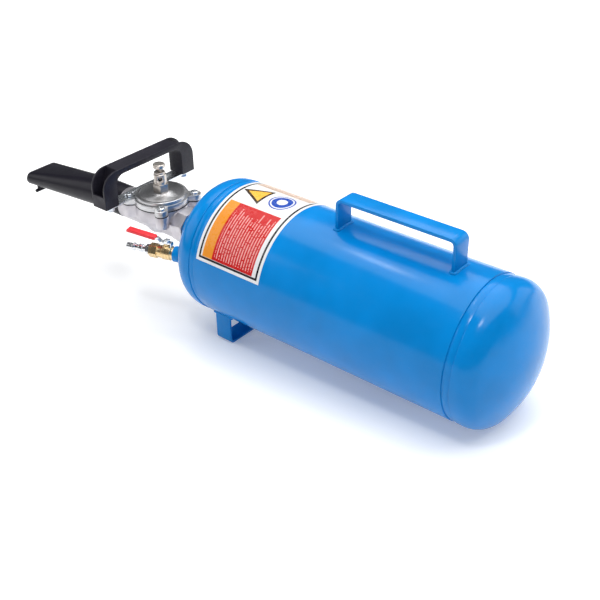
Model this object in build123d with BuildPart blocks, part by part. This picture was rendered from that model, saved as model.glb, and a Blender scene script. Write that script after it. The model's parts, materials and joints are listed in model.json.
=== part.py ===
from build123d import *
import os
from math import atan2, cos, pi, radians, sin, sqrt

os.makedirs("parts", exist_ok=True)

# A portable air receiver with a quick-release diaphragm valve and a flattened blast
# nozzle. Millimetres. The tank axis runs along X, the nozzle points along +X, +Z is up
# and the origin is the middle of the underside of the foot strap.

# ---------------------------------------------------------------- driving sizes: tank
tank_diameter = 220.0
tank_wall = 2.5
shell_length = 451.5
shell_ahead = 23.5          # front edge of the shell ahead of the middle of the foot
foot_clearance = 23.0       # lowest line of the tank above the underside of the foot
head_crown_radius = 176.0
head_knuckle_radius = 34.0
head_flange = 8.5           # straight part between the shoulder and the knuckle
seam_width = 12.0           # open band between the shell edge and the head's shoulder
seam_lap = 15.0             # joggled flange that slips inside the shell
seam_sink = 1.5             # how far the weld lies below the tank's outer face
joggle_gap = 0.1
weld_gap = 0.05             # between welded pieces that meet on a curve
edge_round = 1.3            # outer corners of the plates at the seams

# ------------------------------------------------------- driving sizes: handle and foot
handle_start = 46.0         # rear face of the handle ahead of the shell's rear edge
handle_to_label = 72.0      # front face of the handle behind the label
handle_width = 32.0
handle_height = 48.5        # top of the handle above the shell
handle_thickness = 5.5
handle_bend = 11.0          # outer bend radius
foot_width = 30.5
foot_span = 149.6
foot_thickness = 4.0
foot_bend = 9.0
bead_width = 3.5
bead_height = 2.6

# ---------------------------------------------------------------- driving sizes: label
label_length = 126.5
label_ahead = 17.5          # front edge of the label ahead of the middle of the foot
label_thickness = 0.3
label_near_angle = 74.0     # degrees from the top towards +Y
label_far_angle = -62.0

# --------------------------------------------------- driving sizes: outlet and its valve
socket_radius = 29.0
socket_stand = 30.0         # front face of the socket ahead of the head's crown
socket_sunk = 9.0           # socket inside the head, behind the crown
thread_radius = 21.0
thread_gap = 0.1
thread_depth = 20.0
port_radius = 17.0
valve_inlet_reach = 72.0    # inlet face to the middle of the valve
valve_outlet_reach = 86.0   # middle of the valve to the outlet face
valve_tube_radius = 27.5
valve_boss_radius = 30.0
valve_boss_length = 22.0
bowl_radius = 46.5
bowl_bottom = 10.0          # heights from here on are above the tank axis
body_top = 28.5
lug_depth = 21.0
screw_half_pitch = 39.0
lug_radius = 11.0
lug_hollow = 6.0            # fillet where a lug runs into the round flange
chamber_radius = 37.0
chamber_floor = 7.0
seat_radius = 21.0
seat_bore = 17.0
seat_top = 13.0
passage_half_width = 18.5
passage_top = 4.0
passage_bottom = -19.0
passage_corner = 10.0

# ------------------------------------------- driving sizes: diaphragm, cover and spring
membrane = 2.0
membrane_hole = 3.6
plate_thickness = 2.0
seat_rubber = 2.4
lift = 6.0                  # travel of the diaphragm
cover_flange = 9.5
cover_height = 15.5         # raised disc above the diaphragm
cover_disc_radius = 43.5
cover_groove_radius = 39.0
cover_groove = 1.2
cover_roof = 5.0
cover_hub_radius = 13.0
cover_hub_depth = 12.0
big_spring_radius = 17.0
big_spring_wire = 2.2
big_spring_turns = 4
screw_radius = 4.0
screw_gap = 0.3
screw_head_radius = 7.0
screw_head_height = 4.4
screw_head_round = 2.4
screw_hex = 5.0
screw_hex_depth = 2.7
screw_length = 25.0
clamp_radius = 3.0          # shank of the screw that clamps the diaphragm
clamp_hex = 10.0
clamp_head = 3.0
clamp_nut_height = 4.0
rest_gap = 0.1              # closed valve faces stay this far apart

# -------------------------------------------------------- driving sizes: pilot button
pilot_hex = 24.0
pilot_hex_height = 14.3
pilot_boss_radius = 14.2     # top of the cone that the hexagon stands on
pilot_boss_foot = 19.0
pilot_boss_height = 2.5
pilot_upper_radius = 10.5
pilot_upper_height = 18.0
pilot_flat = 8.6            # flat face of the upper body, from its axis
pilot_spigot = 9.0
pilot_chamber = 7.0
pilot_orifice = 3.9
pilot_seat_thickness = 4.0
pilot_port_radius = 3.5
pilot_port_angle = 138.0    # degrees from +X
gland_radius = 9.4
gland_height = 3.0
plunger_radius = 3.0
plunger_gap = 0.05
button_radius = 10.3
button_thickness = 7.0
button_stand = 7.0          # underside of the button above the gland
button_travel = 4.0
plunger_disc = 5.8
small_spring_wire = 0.9
small_spring_turns = 8

# -------------------------------------------------------- driving sizes: bridge grip
grip_width = 32.0
grip_length = 204.0
grip_height = 61.0
grip_bar = 9.0
grip_leg = 28.0
grip_outer_corner = 30.0
grip_inner_corner = 17.0
grip_wall = 3.4
grip_skirt = 22.0           # low outer wall of each leg
grip_web_end = 69.0         # where the bar's top ends and the corner hollow begins
bracket_thickness = 3.0
bracket_width = 25.0
bracket_inset = 5.0         # bracket's end inside the grip's end
grip_bolt_inset = 17.0       # grip bolt inside the grip's end
grip_bolt_shift = -5.0       # and behind the grip's middle
grip_nut_hex = 13.0
grip_nut_height = 6.0

# -------------------------------------------------------------- driving sizes: barrel
barrel_socket_radius = 28.0
barrel_socket_length = 64.0
barrel_radius = 27.2
barrel_wall = 2.0
barrel_length = 182.0
mouth_width = 73.0
mouth_height = 24.0
mouth_drop = 13.5
hook_radius = 3.2
hook_length = 60.0
hook_back = 14.0            # hook behind the mouth
hook_drop = 12.0            # hook's middle below the barrel
hook_leg_spacing = 44.0
hook_leg = 5.0

# ---------------------------------------------------------- driving sizes: inlet valve
inlet_offset = 78.0         # middle of the bung's face towards +Y
inlet_height = -2.0
inlet_reach = -4.0          # middle of the bung's face ahead of the head's crown
inlet_angle = 19.0          # degrees that the inlet turns out from +X
bung_radius = 13.0
bung_length = 34.0
inlet_thread = 6.5
inlet_thread_length = 10.0
cock_length = 29.0
cock_radius = 12.0
cock_end_radius = 10.4
cock_bore = 3.5
cock_wall = 1.5
ball_at = 12.0
ball_radius = 6.5
ball_gap = 0.05
seat_ring = 2.2             # seat behind the ball, at its thinnest
seat_ring_length = 4.0
end_hex = 21.0
end_length = 14.0
stem_radius = 3.0
stem_gap = 0.05
stem_boss_radius = 6.5
stem_boss_top = 14.5
gland_hex = 10.0
gland_nut_height = 3.0
lever_thickness = 2.0
lever_width = 9.0
lever_length = 68.0
lever_rise = 5.0
lever_slope = 8.0           # degrees that the arm climbs
lever_bend_at = 10.0
lever_tail = 9.0
sleeve_start = 3.0          # along the arm, from its bend
sleeve_wall = 1.8
sleeve_gap = 0.05
lever_nut_hex = 10.0
lever_nut_height = 4.0
plug_hex = 15.0
plug_hex_length = 7.0
plug_bore = 3.0
plug_thread = 5.5
plug_sunk = 9.0             # plug's thread inside the valve's end
plug_shoulder = 7.0

# ------------------------------------------------------------------ derived positions
tank_radius = tank_diameter / 2
axis_height = tank_radius + foot_clearance
shell_front = shell_ahead
shell_rear = shell_front - shell_length
front_shoulder = shell_front + seam_width
rear_shoulder = shell_rear - seam_width
joggle_radius = tank_radius - tank_wall - joggle_gap
head_reach = sqrt((head_crown_radius - head_knuckle_radius) ** 2 - (tank_radius - head_knuckle_radius) ** 2)
head_depth = head_flange - head_reach + head_crown_radius
front_crown = front_shoulder + head_depth
socket_face = front_crown + socket_stand
valve_x = socket_face + valve_inlet_reach
valve_outlet = valve_x + valve_outlet_reach
membrane_top = body_top + membrane
cover_top = membrane_top + cover_height
flange_top = membrane_top + cover_flange
plate_low = seat_top + rest_gap + seat_rubber
web_low = plate_low + plate_thickness
web_high = web_low + membrane
plate_top = web_high + plate_thickness
cover_ceiling = cover_top - cover_roof

tank_axis = Axis((0, 0, axis_height), (1, 0, 0))
side_plane = Plane(origin=(0, 0, axis_height), x_dir=(1, 0, 0), z_dir=(0, -1, 0))
cross_plane = Plane(origin=(0, 0, axis_height), x_dir=(0, 1, 0), z_dir=(1, 0, 0))
valve_plane = Plane(origin=(valve_x, 0, axis_height), x_dir=(1, 0, 0), z_dir=(0, 0, 1))
valve_side = Plane(origin=(valve_x, 0, axis_height), x_dir=(1, 0, 0), z_dir=(0, -1, 0))
valve_axis = Axis((valve_x, 0, axis_height), (0, 0, 1))

turn = radians(inlet_angle)
inlet_ahead = front_crown + inlet_reach
inlet_point = Vector(inlet_ahead, inlet_offset, axis_height + inlet_height)
inlet_way = Vector(cos(turn), sin(turn), 0)
inlet_side_way = Vector(-sin(turn), cos(turn), 0)
inlet_plane = Plane(origin=inlet_point, x_dir=inlet_side_way, z_dir=inlet_way)
inlet_section = Plane(origin=inlet_point, x_dir=inlet_way, z_dir=-inlet_side_way)
inlet_axis = Axis(inlet_point, inlet_way)
ball_centre = inlet_point + inlet_way * ball_at
stem_plane = Plane(origin=ball_centre, x_dir=inlet_way, z_dir=(0, 0, 1))
stem_section = Plane(origin=ball_centre, x_dir=inlet_way, z_dir=-inlet_side_way)
stem_axis = Axis(ball_centre, (0, 0, 1))


def write(piece, name):
    """Label a finished piece and write it under that name."""
    piece.part.label = name
    export_step(piece.part, f"parts/{name}.step")


def across_flats(size):
    """Corner radius of a hexagon from its size across flats."""
    return size / sqrt(3)


def tube_outline(plane, inner, outer, start, end):
    """Half section of a plain tube about the plane's x axis."""
    with BuildSketch(plane) as section:
        with BuildLine():
            Polyline((start, inner), (end, inner), (end, outer), (start, outer), (start, inner))
        make_face()
    return section.sketch


def turned_outline(plane, corners):
    """Half section with straight sides; the corners are (radius, height) pairs."""
    with BuildSketch(plane) as section:
        with BuildLine():
            Polyline(*corners, close=True)
        make_face()
    return section.sketch


def flange_outline(plane, extra=0.0):
    """Round flange with four lugs, one at each cover screw."""
    reach = screw_half_pitch * sqrt(2)
    with BuildSketch(plane) as outline:
        Circle(bowl_radius + extra)
        for angle in (45, 135):
            SlotCenterToCenter(2 * reach, 2 * (lug_radius + extra), rotation=angle)
        hollows = outline.vertices().filter_by(
            lambda v: abs(sqrt((v.X - plane.origin.X) ** 2 + (v.Y - plane.origin.Y) ** 2) - bowl_radius) < 0.5
        )
        fillet(hollows, lug_hollow)
    return outline.sketch


screw_places = GridLocations(2 * screw_half_pitch, 2 * screw_half_pitch, 2, 2)


# =============================================================================== tank
with BuildPart() as shell:
    revolve(
        tube_outline(side_plane, tank_radius - tank_wall, tank_radius, shell_rear, shell_front),
        axis=tank_axis,
    )
    rims = shell.edges().filter_by(GeomType.CIRCLE).group_by(SortBy.RADIUS)[-1]
    fillet(rims, edge_round)
write(shell, "shell")


def head_outline(shoulder, side):
    """Half section of a dished head: joggled flange, knuckle and crown."""
    knuckle = (head_flange, tank_radius - head_knuckle_radius)
    crown = (head_flange - head_reach, 0)
    join = atan2(knuckle[1], head_reach)
    upper = (join + pi / 2) / 2
    start = -(seam_width + seam_lap)

    def at(centre, radius, angle):
        return (shoulder + side * (centre[0] + radius * cos(angle)), centre[1] + radius * sin(angle))

    def across(distance, radius):
        return (shoulder + side * distance, radius)

    with BuildSketch(side_plane) as section:
        with BuildLine():
            Polyline(
                across(start, joggle_radius - tank_wall),
                across(start, joggle_radius),
                across(0, joggle_radius),
                across(0, tank_radius - edge_round),
                across(edge_round, tank_radius),
                across(head_flange, tank_radius),
            )
            ThreePointArc(
                across(head_flange, tank_radius),
                at(knuckle, head_knuckle_radius, upper),
                at(knuckle, head_knuckle_radius, join),
            )
            ThreePointArc(
                at(knuckle, head_knuckle_radius, join),
                at(crown, head_crown_radius, join / 2),
                at(crown, head_crown_radius, 0),
            )
            Line(at(crown, head_crown_radius, 0), at(crown, head_crown_radius - tank_wall, 0))
            ThreePointArc(
                at(crown, head_crown_radius - tank_wall, 0),
                at(crown, head_crown_radius - tank_wall, join / 2),
                at(crown, head_crown_radius - tank_wall, join),
            )
            ThreePointArc(
                at(crown, head_crown_radius - tank_wall, join),
                at(knuckle, head_knuckle_radius - tank_wall, upper),
                across(head_flange, tank_radius - tank_wall),
            )
            Polyline(
                across(head_flange, tank_radius - tank_wall),
                across(head_flange, joggle_radius - tank_wall),
                across(start, joggle_radius - tank_wall),
            )
        make_face()
    return section.sketch


with BuildPart() as rear_head:
    revolve(head_outline(rear_shoulder, -1), axis=tank_axis)
write(rear_head, "rear_head")

with BuildPart() as front_head:
    revolve(head_outline(front_shoulder, 1), axis=tank_axis)
    with BuildSketch(cross_plane.offset(front_crown)):
        Circle(socket_radius + weld_gap)
    extrude(amount=-head_depth, mode=Mode.SUBTRACT)
    with BuildSketch(inlet_plane):
        Circle(bung_radius + weld_gap)
    extrude(amount=-bung_length * 2, mode=Mode.SUBTRACT)
write(front_head, "front_head")


def seam_outline(start, end):
    """Weld that fills the joggle, with a slightly crowned face."""
    low = joggle_radius + weld_gap
    edge = tank_radius - edge_round - seam_sink / 2
    with BuildSketch(side_plane) as section:
        with BuildLine():
            Polyline((start, edge), (start, low), (end, low), (end, edge))
            ThreePointArc((end, edge), ((start + end) / 2, tank_radius - seam_sink / 2), (start, edge))
        make_face()
    return section.sketch


with BuildPart() as rear_seam:
    revolve(seam_outline(rear_shoulder, shell_rear), axis=tank_axis)
write(rear_seam, "rear_seam")

with BuildPart() as front_seam:
    revolve(seam_outline(shell_front, front_shoulder), axis=tank_axis)
write(front_seam, "front_seam")

# ------------------------------------------------------------------------ carry handle
handle_rear = shell_rear + handle_start
handle_length = shell_length - shell_ahead + label_ahead - label_length - handle_to_label - handle_start
handle_top = tank_radius + handle_height

with BuildPart() as carry_handle:
    with BuildSketch(side_plane) as handle_side:
        with BuildLine():
            FilletPolyline(
                (handle_rear, 0),
                (handle_rear, handle_top),
                (handle_rear + handle_length, handle_top),
                (handle_rear + handle_length, 0),
                radius=handle_bend,
            )
            Line((handle_rear + handle_length, 0), (handle_rear + handle_length - handle_thickness, 0))
            FilletPolyline(
                (handle_rear + handle_length - handle_thickness, 0),
                (handle_rear + handle_length - handle_thickness, handle_top - handle_thickness),
                (handle_rear + handle_thickness, handle_top - handle_thickness),
                (handle_rear + handle_thickness, 0),
                radius=handle_bend - handle_thickness,
            )
            Line((handle_rear + handle_thickness, 0), (handle_rear, 0))
        make_face()
    extrude(amount=handle_width / 2, both=True)
    with BuildSketch(cross_plane.offset(handle_rear - 1)):
        Circle(tank_radius + weld_gap)
    extrude(amount=handle_length + 2, mode=Mode.SUBTRACT)
    handle_edges = carry_handle.edges().filter_by_position(Axis.Z, axis_height + tank_radius + 1, axis_height + 400)
    fillet(handle_edges.filter_by(Axis.X), 1.2)
write(carry_handle, "carry_handle")

handle_feet = (handle_rear + handle_thickness / 2, handle_rear + handle_length - handle_thickness / 2)

with BuildPart() as handle_welds:
    with BuildSketch(cross_plane.offset(handle_rear - 2 * bead_width)):
        Circle(tank_radius + bead_height)
        Circle(tank_radius + weld_gap, mode=Mode.SUBTRACT)
    extrude(amount=handle_length + 4 * bead_width)
    with BuildSketch(Plane.XY.offset(axis_height)):
        with Locations(*[(x, 0) for x in handle_feet]):
            RectangleRounded(handle_thickness + 2 * bead_width, handle_width + 2 * bead_width, bead_width)
    extrude(amount=2 * tank_radius, mode=Mode.INTERSECT)
    with BuildSketch(Plane.XY.offset(axis_height)):
        with Locations(*[(x, 0) for x in handle_feet]):
            Rectangle(handle_thickness + 2 * weld_gap, handle_width + 2 * weld_gap)
    extrude(amount=2 * tank_radius, mode=Mode.SUBTRACT)
write(handle_welds, "handle_welds")

# --------------------------------------------------------------------------- foot strap
with BuildPart() as front_foot:
    with BuildSketch(cross_plane.offset(-foot_width / 2)):
        with BuildLine():
            FilletPolyline(
                (-foot_span / 2, 0),
                (-foot_span / 2, -axis_height),
                (foot_span / 2, -axis_height),
                (foot_span / 2, 0),
                radius=foot_bend,
            )
            Line((foot_span / 2, 0), (foot_span / 2 - foot_thickness, 0))
            FilletPolyline(
                (foot_span / 2 - foot_thickness, 0),
                (foot_span / 2 - foot_thickness, foot_thickness - axis_height),
                (foot_thickness - foot_span / 2, foot_thickness - axis_height),
                (foot_thickness - foot_span / 2, 0),
                radius=foot_bend - foot_thickness,
            )
            Line((foot_thickness - foot_span / 2, 0), (-foot_span / 2, 0))
        make_face()
    extrude(amount=foot_width)
    with BuildSketch(cross_plane.offset(-foot_width)):
        Circle(tank_radius + weld_gap)
    extrude(amount=2 * foot_width, mode=Mode.SUBTRACT)
write(front_foot, "front_foot")

foot_leg_y = foot_span / 2 - foot_thickness / 2

with BuildPart() as foot_welds:
    with BuildSketch(cross_plane.offset(-foot_width)):
        Circle(tank_radius + bead_height)
        Circle(tank_radius + weld_gap, mode=Mode.SUBTRACT)
    extrude(amount=2 * foot_width)
    with BuildSketch(Plane.XY):
        with Locations((0, foot_leg_y), (0, -foot_leg_y)):
            RectangleRounded(foot_width + 2 * bead_width, foot_thickness + 2 * bead_width, bead_width)
    extrude(amount=axis_height, mode=Mode.INTERSECT)
    with BuildSketch(Plane.XY):
        with Locations((0, foot_leg_y), (0, -foot_leg_y)):
            Rectangle(foot_width + 2 * weld_gap, foot_thickness + 2 * weld_gap)
    extrude(amount=axis_height, mode=Mode.SUBTRACT)
write(foot_welds, "foot_welds")

# -------------------------------------------------------------------------------- label


def label_point(radius, angle):
    return (radius * sin(radians(angle)), radius * cos(radians(angle)))


label_low = tank_radius + weld_gap
label_high = label_low + label_thickness
label_middle = (label_near_angle + label_far_angle) / 2

with BuildPart() as label:
    with BuildSketch(cross_plane.offset(label_ahead - label_length)):
        with BuildLine():
            ThreePointArc(*[label_point(label_low, a) for a in (label_near_angle, label_middle, label_far_angle)])
            Line(label_point(label_low, label_far_angle), label_point(label_high, label_far_angle))
            ThreePointArc(*[label_point(label_high, a) for a in (label_far_angle, label_middle, label_near_angle)])
            Line(label_point(label_high, label_near_angle), label_point(label_low, label_near_angle))
        make_face()
    extrude(amount=label_length)
write(label, "label")

# ====================================================================== outlet fittings
with BuildPart() as outlet_socket:
    with BuildSketch(cross_plane.offset(front_crown - socket_sunk)):
        Circle(socket_radius)
        Circle(port_radius, mode=Mode.SUBTRACT)
    extrude(amount=socket_face - front_crown + socket_sunk)
    with BuildSketch(cross_plane.offset(socket_face)):
        Circle(thread_radius + thread_gap)
    extrude(amount=-thread_depth, mode=Mode.SUBTRACT)
    socket_rim = outlet_socket.edges().filter_by(GeomType.CIRCLE).group_by(Axis.X)[-1].sort_by(SortBy.RADIUS)[-1]
    chamfer(socket_rim, 1.0)
write(outlet_socket, "outlet_socket")

with BuildPart() as outlet_nipple:
    with BuildSketch(cross_plane.offset(socket_face - thread_depth + rest_gap)):
        Circle(thread_radius)
        Circle(port_radius, mode=Mode.SUBTRACT)
    extrude(amount=2 * (thread_depth - rest_gap))
    chamfer(outlet_nipple.edges().filter_by(GeomType.CIRCLE).group_by(SortBy.RADIUS)[-1], 1.0)
write(outlet_nipple, "outlet_nipple")


def passage_outline(plane):
    """Flattened flow passage below the diaphragm."""
    middle = (passage_top + passage_bottom) / 2
    with BuildSketch(plane) as outline:
        with Locations((0, middle)):
            RectangleRounded(2 * passage_half_width, passage_top - passage_bottom, passage_corner)
    return outline.sketch


with BuildPart() as valve_body:
    with BuildSketch(cross_plane.offset(socket_face)):
        Circle(valve_tube_radius)
    extrude(amount=valve_outlet - socket_face)
    with BuildSketch(cross_plane.offset(socket_face)):
        RegularPolygon(valve_boss_radius, 8, major_radius=False, rotation=22.5)
    extrude(amount=valve_boss_length)
    revolve(
        turned_outline(
            valve_side,
            [(0, passage_bottom), (valve_tube_radius, passage_bottom + 1), (bowl_radius, bowl_bottom),
             (bowl_radius, body_top), (0, body_top)],
        ),
        axis=valve_axis,
    )
    split(bisect_by=valve_plane.offset(body_top), keep=Keep.BOTTOM)
    extrude(flange_outline(valve_plane.offset(body_top - lug_depth)), amount=lug_depth)
    # diaphragm chamber with the seat left standing in its middle
    with BuildSketch(valve_plane.offset(body_top)):
        Circle(chamber_radius)
    extrude(amount=seat_top - body_top, mode=Mode.SUBTRACT)
    with BuildSketch(valve_plane.offset(seat_top)):
        Circle(chamber_radius)
        Circle(seat_radius, mode=Mode.SUBTRACT)
    extrude(amount=chamber_floor - seat_top, mode=Mode.SUBTRACT)
    with BuildSketch(valve_plane.offset(seat_top)):
        Circle(seat_bore)
    extrude(amount=passage_bottom + passage_corner / 2 - seat_top, mode=Mode.SUBTRACT)
    # outlet side: from under the seat to the outlet thread
    extrude(
        passage_outline(cross_plane.offset(valve_x)),
        amount=valve_outlet_reach,
        mode=Mode.SUBTRACT,
    )
    # inlet side: up to the wall beside the seat, then up into the chamber
    inlet_end = valve_x - seat_radius - 4
    extrude(
        passage_outline(cross_plane.offset(socket_face)),
        amount=inlet_end - socket_face,
        mode=Mode.SUBTRACT,
    )
    with BuildSketch(valve_plane.offset(chamber_floor)):
        with Locations((inlet_end - valve_x - 5, 0)):
            Rectangle(10, 2 * passage_half_width - 6)
    extrude(amount=passage_bottom / 2 - chamber_floor, mode=Mode.SUBTRACT)
    for face_x, inward in ((socket_face, 1), (valve_outlet, -1)):
        with BuildSketch(cross_plane.offset(face_x)):
            Circle(thread_radius + thread_gap)
        extrude(amount=inward * thread_depth, mode=Mode.SUBTRACT)
    with BuildSketch(valve_plane.offset(body_top)):
        with screw_places:
            Circle(screw_radius)
    extrude(amount=-lug_depth, mode=Mode.SUBTRACT)
write(valve_body, "valve_body")

with BuildPart() as diaphragm_rim:
    extrude(flange_outline(valve_plane.offset(body_top)), amount=membrane)
    with BuildSketch(valve_plane.offset(body_top)):
        Circle(chamber_radius)
        with screw_places:
            Circle(screw_radius + screw_gap)
    extrude(amount=membrane, mode=Mode.SUBTRACT)
write(diaphragm_rim, "diaphragm_rim")

web_flat = seat_radius + 3.0

with BuildPart() as diaphragm_web:
    revolve(
        turned_outline(
            valve_side,
            [(membrane_hole, web_low), (web_flat, web_low), (chamber_radius - 3, body_top),
             (chamber_radius - weld_gap, body_top), (chamber_radius - weld_gap, membrane_top),
             (chamber_radius - 5, membrane_top), (web_flat - 1, web_high), (membrane_hole, web_high)],
        ),
        axis=valve_axis,
    )
write(diaphragm_web, "diaphragm_web")

with BuildPart() as seat_disc:
    with BuildSketch(valve_plane.offset(seat_top + rest_gap)):
        Circle(seat_radius + 0.5)
        Circle(membrane_hole, mode=Mode.SUBTRACT)
    extrude(amount=seat_rubber)
write(seat_disc, "seat_disc")

with BuildPart() as clamp_plates:
    with BuildSketch(valve_plane.offset(plate_low)):
        Circle(seat_radius)
        Circle(membrane_hole, mode=Mode.SUBTRACT)
    extrude(amount=plate_thickness)
    with BuildSketch(valve_plane.offset(web_high)):
        Circle(seat_radius)
        Circle(membrane_hole, mode=Mode.SUBTRACT)
    extrude(amount=plate_thickness)
write(clamp_plates, "clamp_plates")

with BuildPart() as clamp_screw:
    with BuildSketch(valve_plane.offset(seat_top + rest_gap - clamp_head)):
        RegularPolygon(across_flats(clamp_hex), 6)
    extrude(amount=clamp_head)
    with BuildSketch(valve_plane.offset(seat_top + rest_gap)):
        Circle(clamp_radius)
    extrude(amount=plate_top + clamp_nut_height + 1 - seat_top - rest_gap)
write(clamp_screw, "clamp_screw")

with BuildPart() as clamp_nut:
    with BuildSketch(valve_plane.offset(plate_top)):
        RegularPolygon(across_flats(clamp_hex), 6)
        Circle(clamp_radius, mode=Mode.SUBTRACT)
    extrude(amount=clamp_nut_height)
write(clamp_nut, "clamp_nut")

with BuildPart() as valve_cover:
    extrude(flange_outline(valve_plane.offset(membrane_top)), amount=cover_flange)
    with BuildSketch(valve_plane.offset(flange_top)):
        Circle(cover_disc_radius)
    extrude(amount=cover_top - flange_top)
    disc_rim = valve_cover.edges().filter_by(GeomType.CIRCLE).group_by(Axis.Z)[-1]
    fillet(disc_rim, 1.5)
    with BuildSketch(valve_plane.offset(cover_top)):
        Circle(cover_groove_radius + cover_groove / 2)
        Circle(cover_groove_radius - cover_groove / 2, mode=Mode.SUBTRACT)
    extrude(amount=-cover_groove, mode=Mode.SUBTRACT)
    revolve(
        turned_outline(
            valve_side,
            [(0, cover_top), (pilot_boss_foot, cover_top),
             (pilot_boss_radius, cover_top + pilot_boss_height), (0, cover_top + pilot_boss_height)],
        ),
        axis=valve_axis,
    )
    with BuildSketch(valve_plane.offset(membrane_top)):
        Circle(chamber_radius - 3)
        Circle(cover_hub_radius, mode=Mode.SUBTRACT)
    extrude(amount=cover_ceiling - membrane_top, mode=Mode.SUBTRACT)
    with BuildSketch(valve_plane.offset(membrane_top)):
        Circle(cover_hub_radius)
    extrude(amount=cover_top - cover_hub_depth - membrane_top, mode=Mode.SUBTRACT)
    with BuildSketch(valve_plane.offset(cover_top + pilot_boss_height)):
        Circle(pilot_spigot + thread_gap)
    extrude(amount=-cover_height, mode=Mode.SUBTRACT)
    with BuildSketch(valve_plane.offset(membrane_top)):
        with screw_places:
            Circle(screw_radius + screw_gap)
    extrude(amount=cover_flange, mode=Mode.SUBTRACT)
write(valve_cover, "valve_cover")


def coil(plane, radius, wire, low, high, turns):
    """Compression spring as one wire wound between two heights."""
    rise = (high - low - wire) / turns
    with BuildPart() as spring:
        with BuildLine(plane.offset(low + wire / 2)):
            path = Helix(rise, high - low - wire, radius)
        with BuildSketch(Plane(origin=path @ 0, z_dir=path % 0)):
            Circle(wire / 2)
        sweep(path=path, is_frenet=True)
    return spring


diaphragm_spring = coil(
    valve_plane, big_spring_radius, big_spring_wire, plate_top, cover_ceiling, big_spring_turns
)
write(diaphragm_spring, "diaphragm_spring")


bracket_low = flange_top
bracket_high = bracket_low + bracket_thickness
rear_screws = [(-screw_half_pitch, screw_half_pitch), (-screw_half_pitch, -screw_half_pitch)]
front_screws = [(screw_half_pitch, screw_half_pitch), (screw_half_pitch, -screw_half_pitch)]

with BuildPart() as cover_screws:
    for places, seat in ((rear_screws, flange_top), (front_screws, bracket_high)):
        with BuildSketch(valve_plane.offset(seat)):
            with Locations(*places):
                Circle(screw_radius)
        extrude(amount=-screw_length)
        with BuildSketch(valve_plane.offset(seat)):
            with Locations(*places):
                Circle(screw_head_radius)
        extrude(amount=screw_head_height)
        crowns = cover_screws.edges().filter_by(GeomType.CIRCLE).filter_by_position(
            Axis.Z, axis_height + seat + screw_head_height - 0.01, axis_height + seat + screw_head_height + 0.01
        )
        fillet(crowns, screw_head_round)
        with BuildSketch(valve_plane.offset(seat + screw_head_height)):
            with Locations(*places):
                RegularPolygon(across_flats(screw_hex), 6)
        extrude(amount=-screw_hex_depth, mode=Mode.SUBTRACT)
write(cover_screws, "cover_screws")

# ========================================================================== pilot valve
pilot_low = cover_top - cover_hub_depth
hex_low = cover_top + pilot_boss_height
hex_high = hex_low + pilot_hex_height
seat_low = hex_high
seat_high = seat_low + pilot_seat_thickness
upper_high = hex_high + pilot_upper_height
gland_high = upper_high + gland_height
button_low = gland_high + button_stand
spring_seat_high = pilot_low + 3.0

with BuildPart() as pilot_body:
    with BuildSketch(valve_plane.offset(hex_low)):
        RegularPolygon(across_flats(pilot_hex), 6, rotation=15)
    extrude(amount=pilot_hex_height)
    with BuildSketch(valve_plane.offset(pilot_low)):
        Circle(pilot_spigot)
    extrude(amount=hex_low - pilot_low)
    with BuildSketch(valve_plane.offset(hex_high)):
        Circle(pilot_upper_radius)
    extrude(amount=pilot_upper_height)
    chamfer(pilot_body.edges().filter_by(GeomType.CIRCLE).group_by(Axis.Z)[-1], 1.2)
    with BuildSketch(valve_plane.offset(pilot_low)):
        Circle(pilot_chamber)
    extrude(amount=seat_low - pilot_low, mode=Mode.SUBTRACT)
    with BuildSketch(valve_plane.offset(seat_low)):
        Circle(pilot_orifice)
    extrude(amount=pilot_seat_thickness, mode=Mode.SUBTRACT)
    with BuildSketch(valve_plane.offset(seat_high)):
        Circle(pilot_chamber)
    extrude(amount=upper_high - seat_high, mode=Mode.SUBTRACT)
    port_way = Vector(cos(radians(pilot_port_angle)), sin(radians(pilot_port_angle)), 0)
    port_middle = Vector(valve_x, 0, axis_height + (seat_high + upper_high) / 2 - 1.5)
    port_plane = Plane(origin=port_middle + port_way * pilot_flat, x_dir=(-port_way.Y, port_way.X, 0), z_dir=port_way)
    with BuildSketch(port_plane):
        Rectangle(2 * pilot_upper_radius, 2 * (pilot_port_radius + 2.2))
    extrude(amount=pilot_upper_radius, mode=Mode.SUBTRACT)
    with BuildSketch(port_plane.offset(1)):
        Circle(pilot_port_radius)
    extrude(amount=-pilot_flat, mode=Mode.SUBTRACT)
write(pilot_body, "pilot_body")

with BuildPart() as pilot_gland:
    with BuildSketch(valve_plane.offset(upper_high)):
        Circle(gland_radius)
    extrude(amount=gland_height)
    fillet(pilot_gland.edges().group_by(Axis.Z)[-1], 0.8)
    with BuildSketch(valve_plane.offset(upper_high)):
        Circle(pilot_chamber - thread_gap)
    extrude(amount=-4)
    with BuildSketch(valve_plane.offset(gland_high)):
        Circle(plunger_radius + plunger_gap)
    extrude(amount=-gland_height - 4, mode=Mode.SUBTRACT)
write(pilot_gland, "pilot_gland")

plunger_seal_high = seat_low - rest_gap
plunger_seal_low = plunger_seal_high - 1.8
plunger_disc_low = plunger_seal_low - 2.2

with BuildPart() as pilot_button:
    with BuildSketch(valve_plane.offset(plunger_disc_low)):
        Circle(plunger_disc)
    extrude(amount=plunger_seal_low - plunger_disc_low)
    with BuildSketch(valve_plane.offset(plunger_seal_low)):
        Circle(plunger_radius)
    extrude(amount=button_low - plunger_seal_low)
    with BuildSketch(valve_plane.offset(button_low)):
        Circle(button_radius)
    extrude(amount=button_thickness)
    fillet(pilot_button.edges().group_by(Axis.Z)[-1], 2.0)
    button_skirt = pilot_button.edges().filter_by(GeomType.CIRCLE).group_by(SortBy.RADIUS)[-1].sort_by(Axis.Z)[0]
    chamfer(button_skirt, 1.0)
write(pilot_button, "pilot_button")

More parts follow.
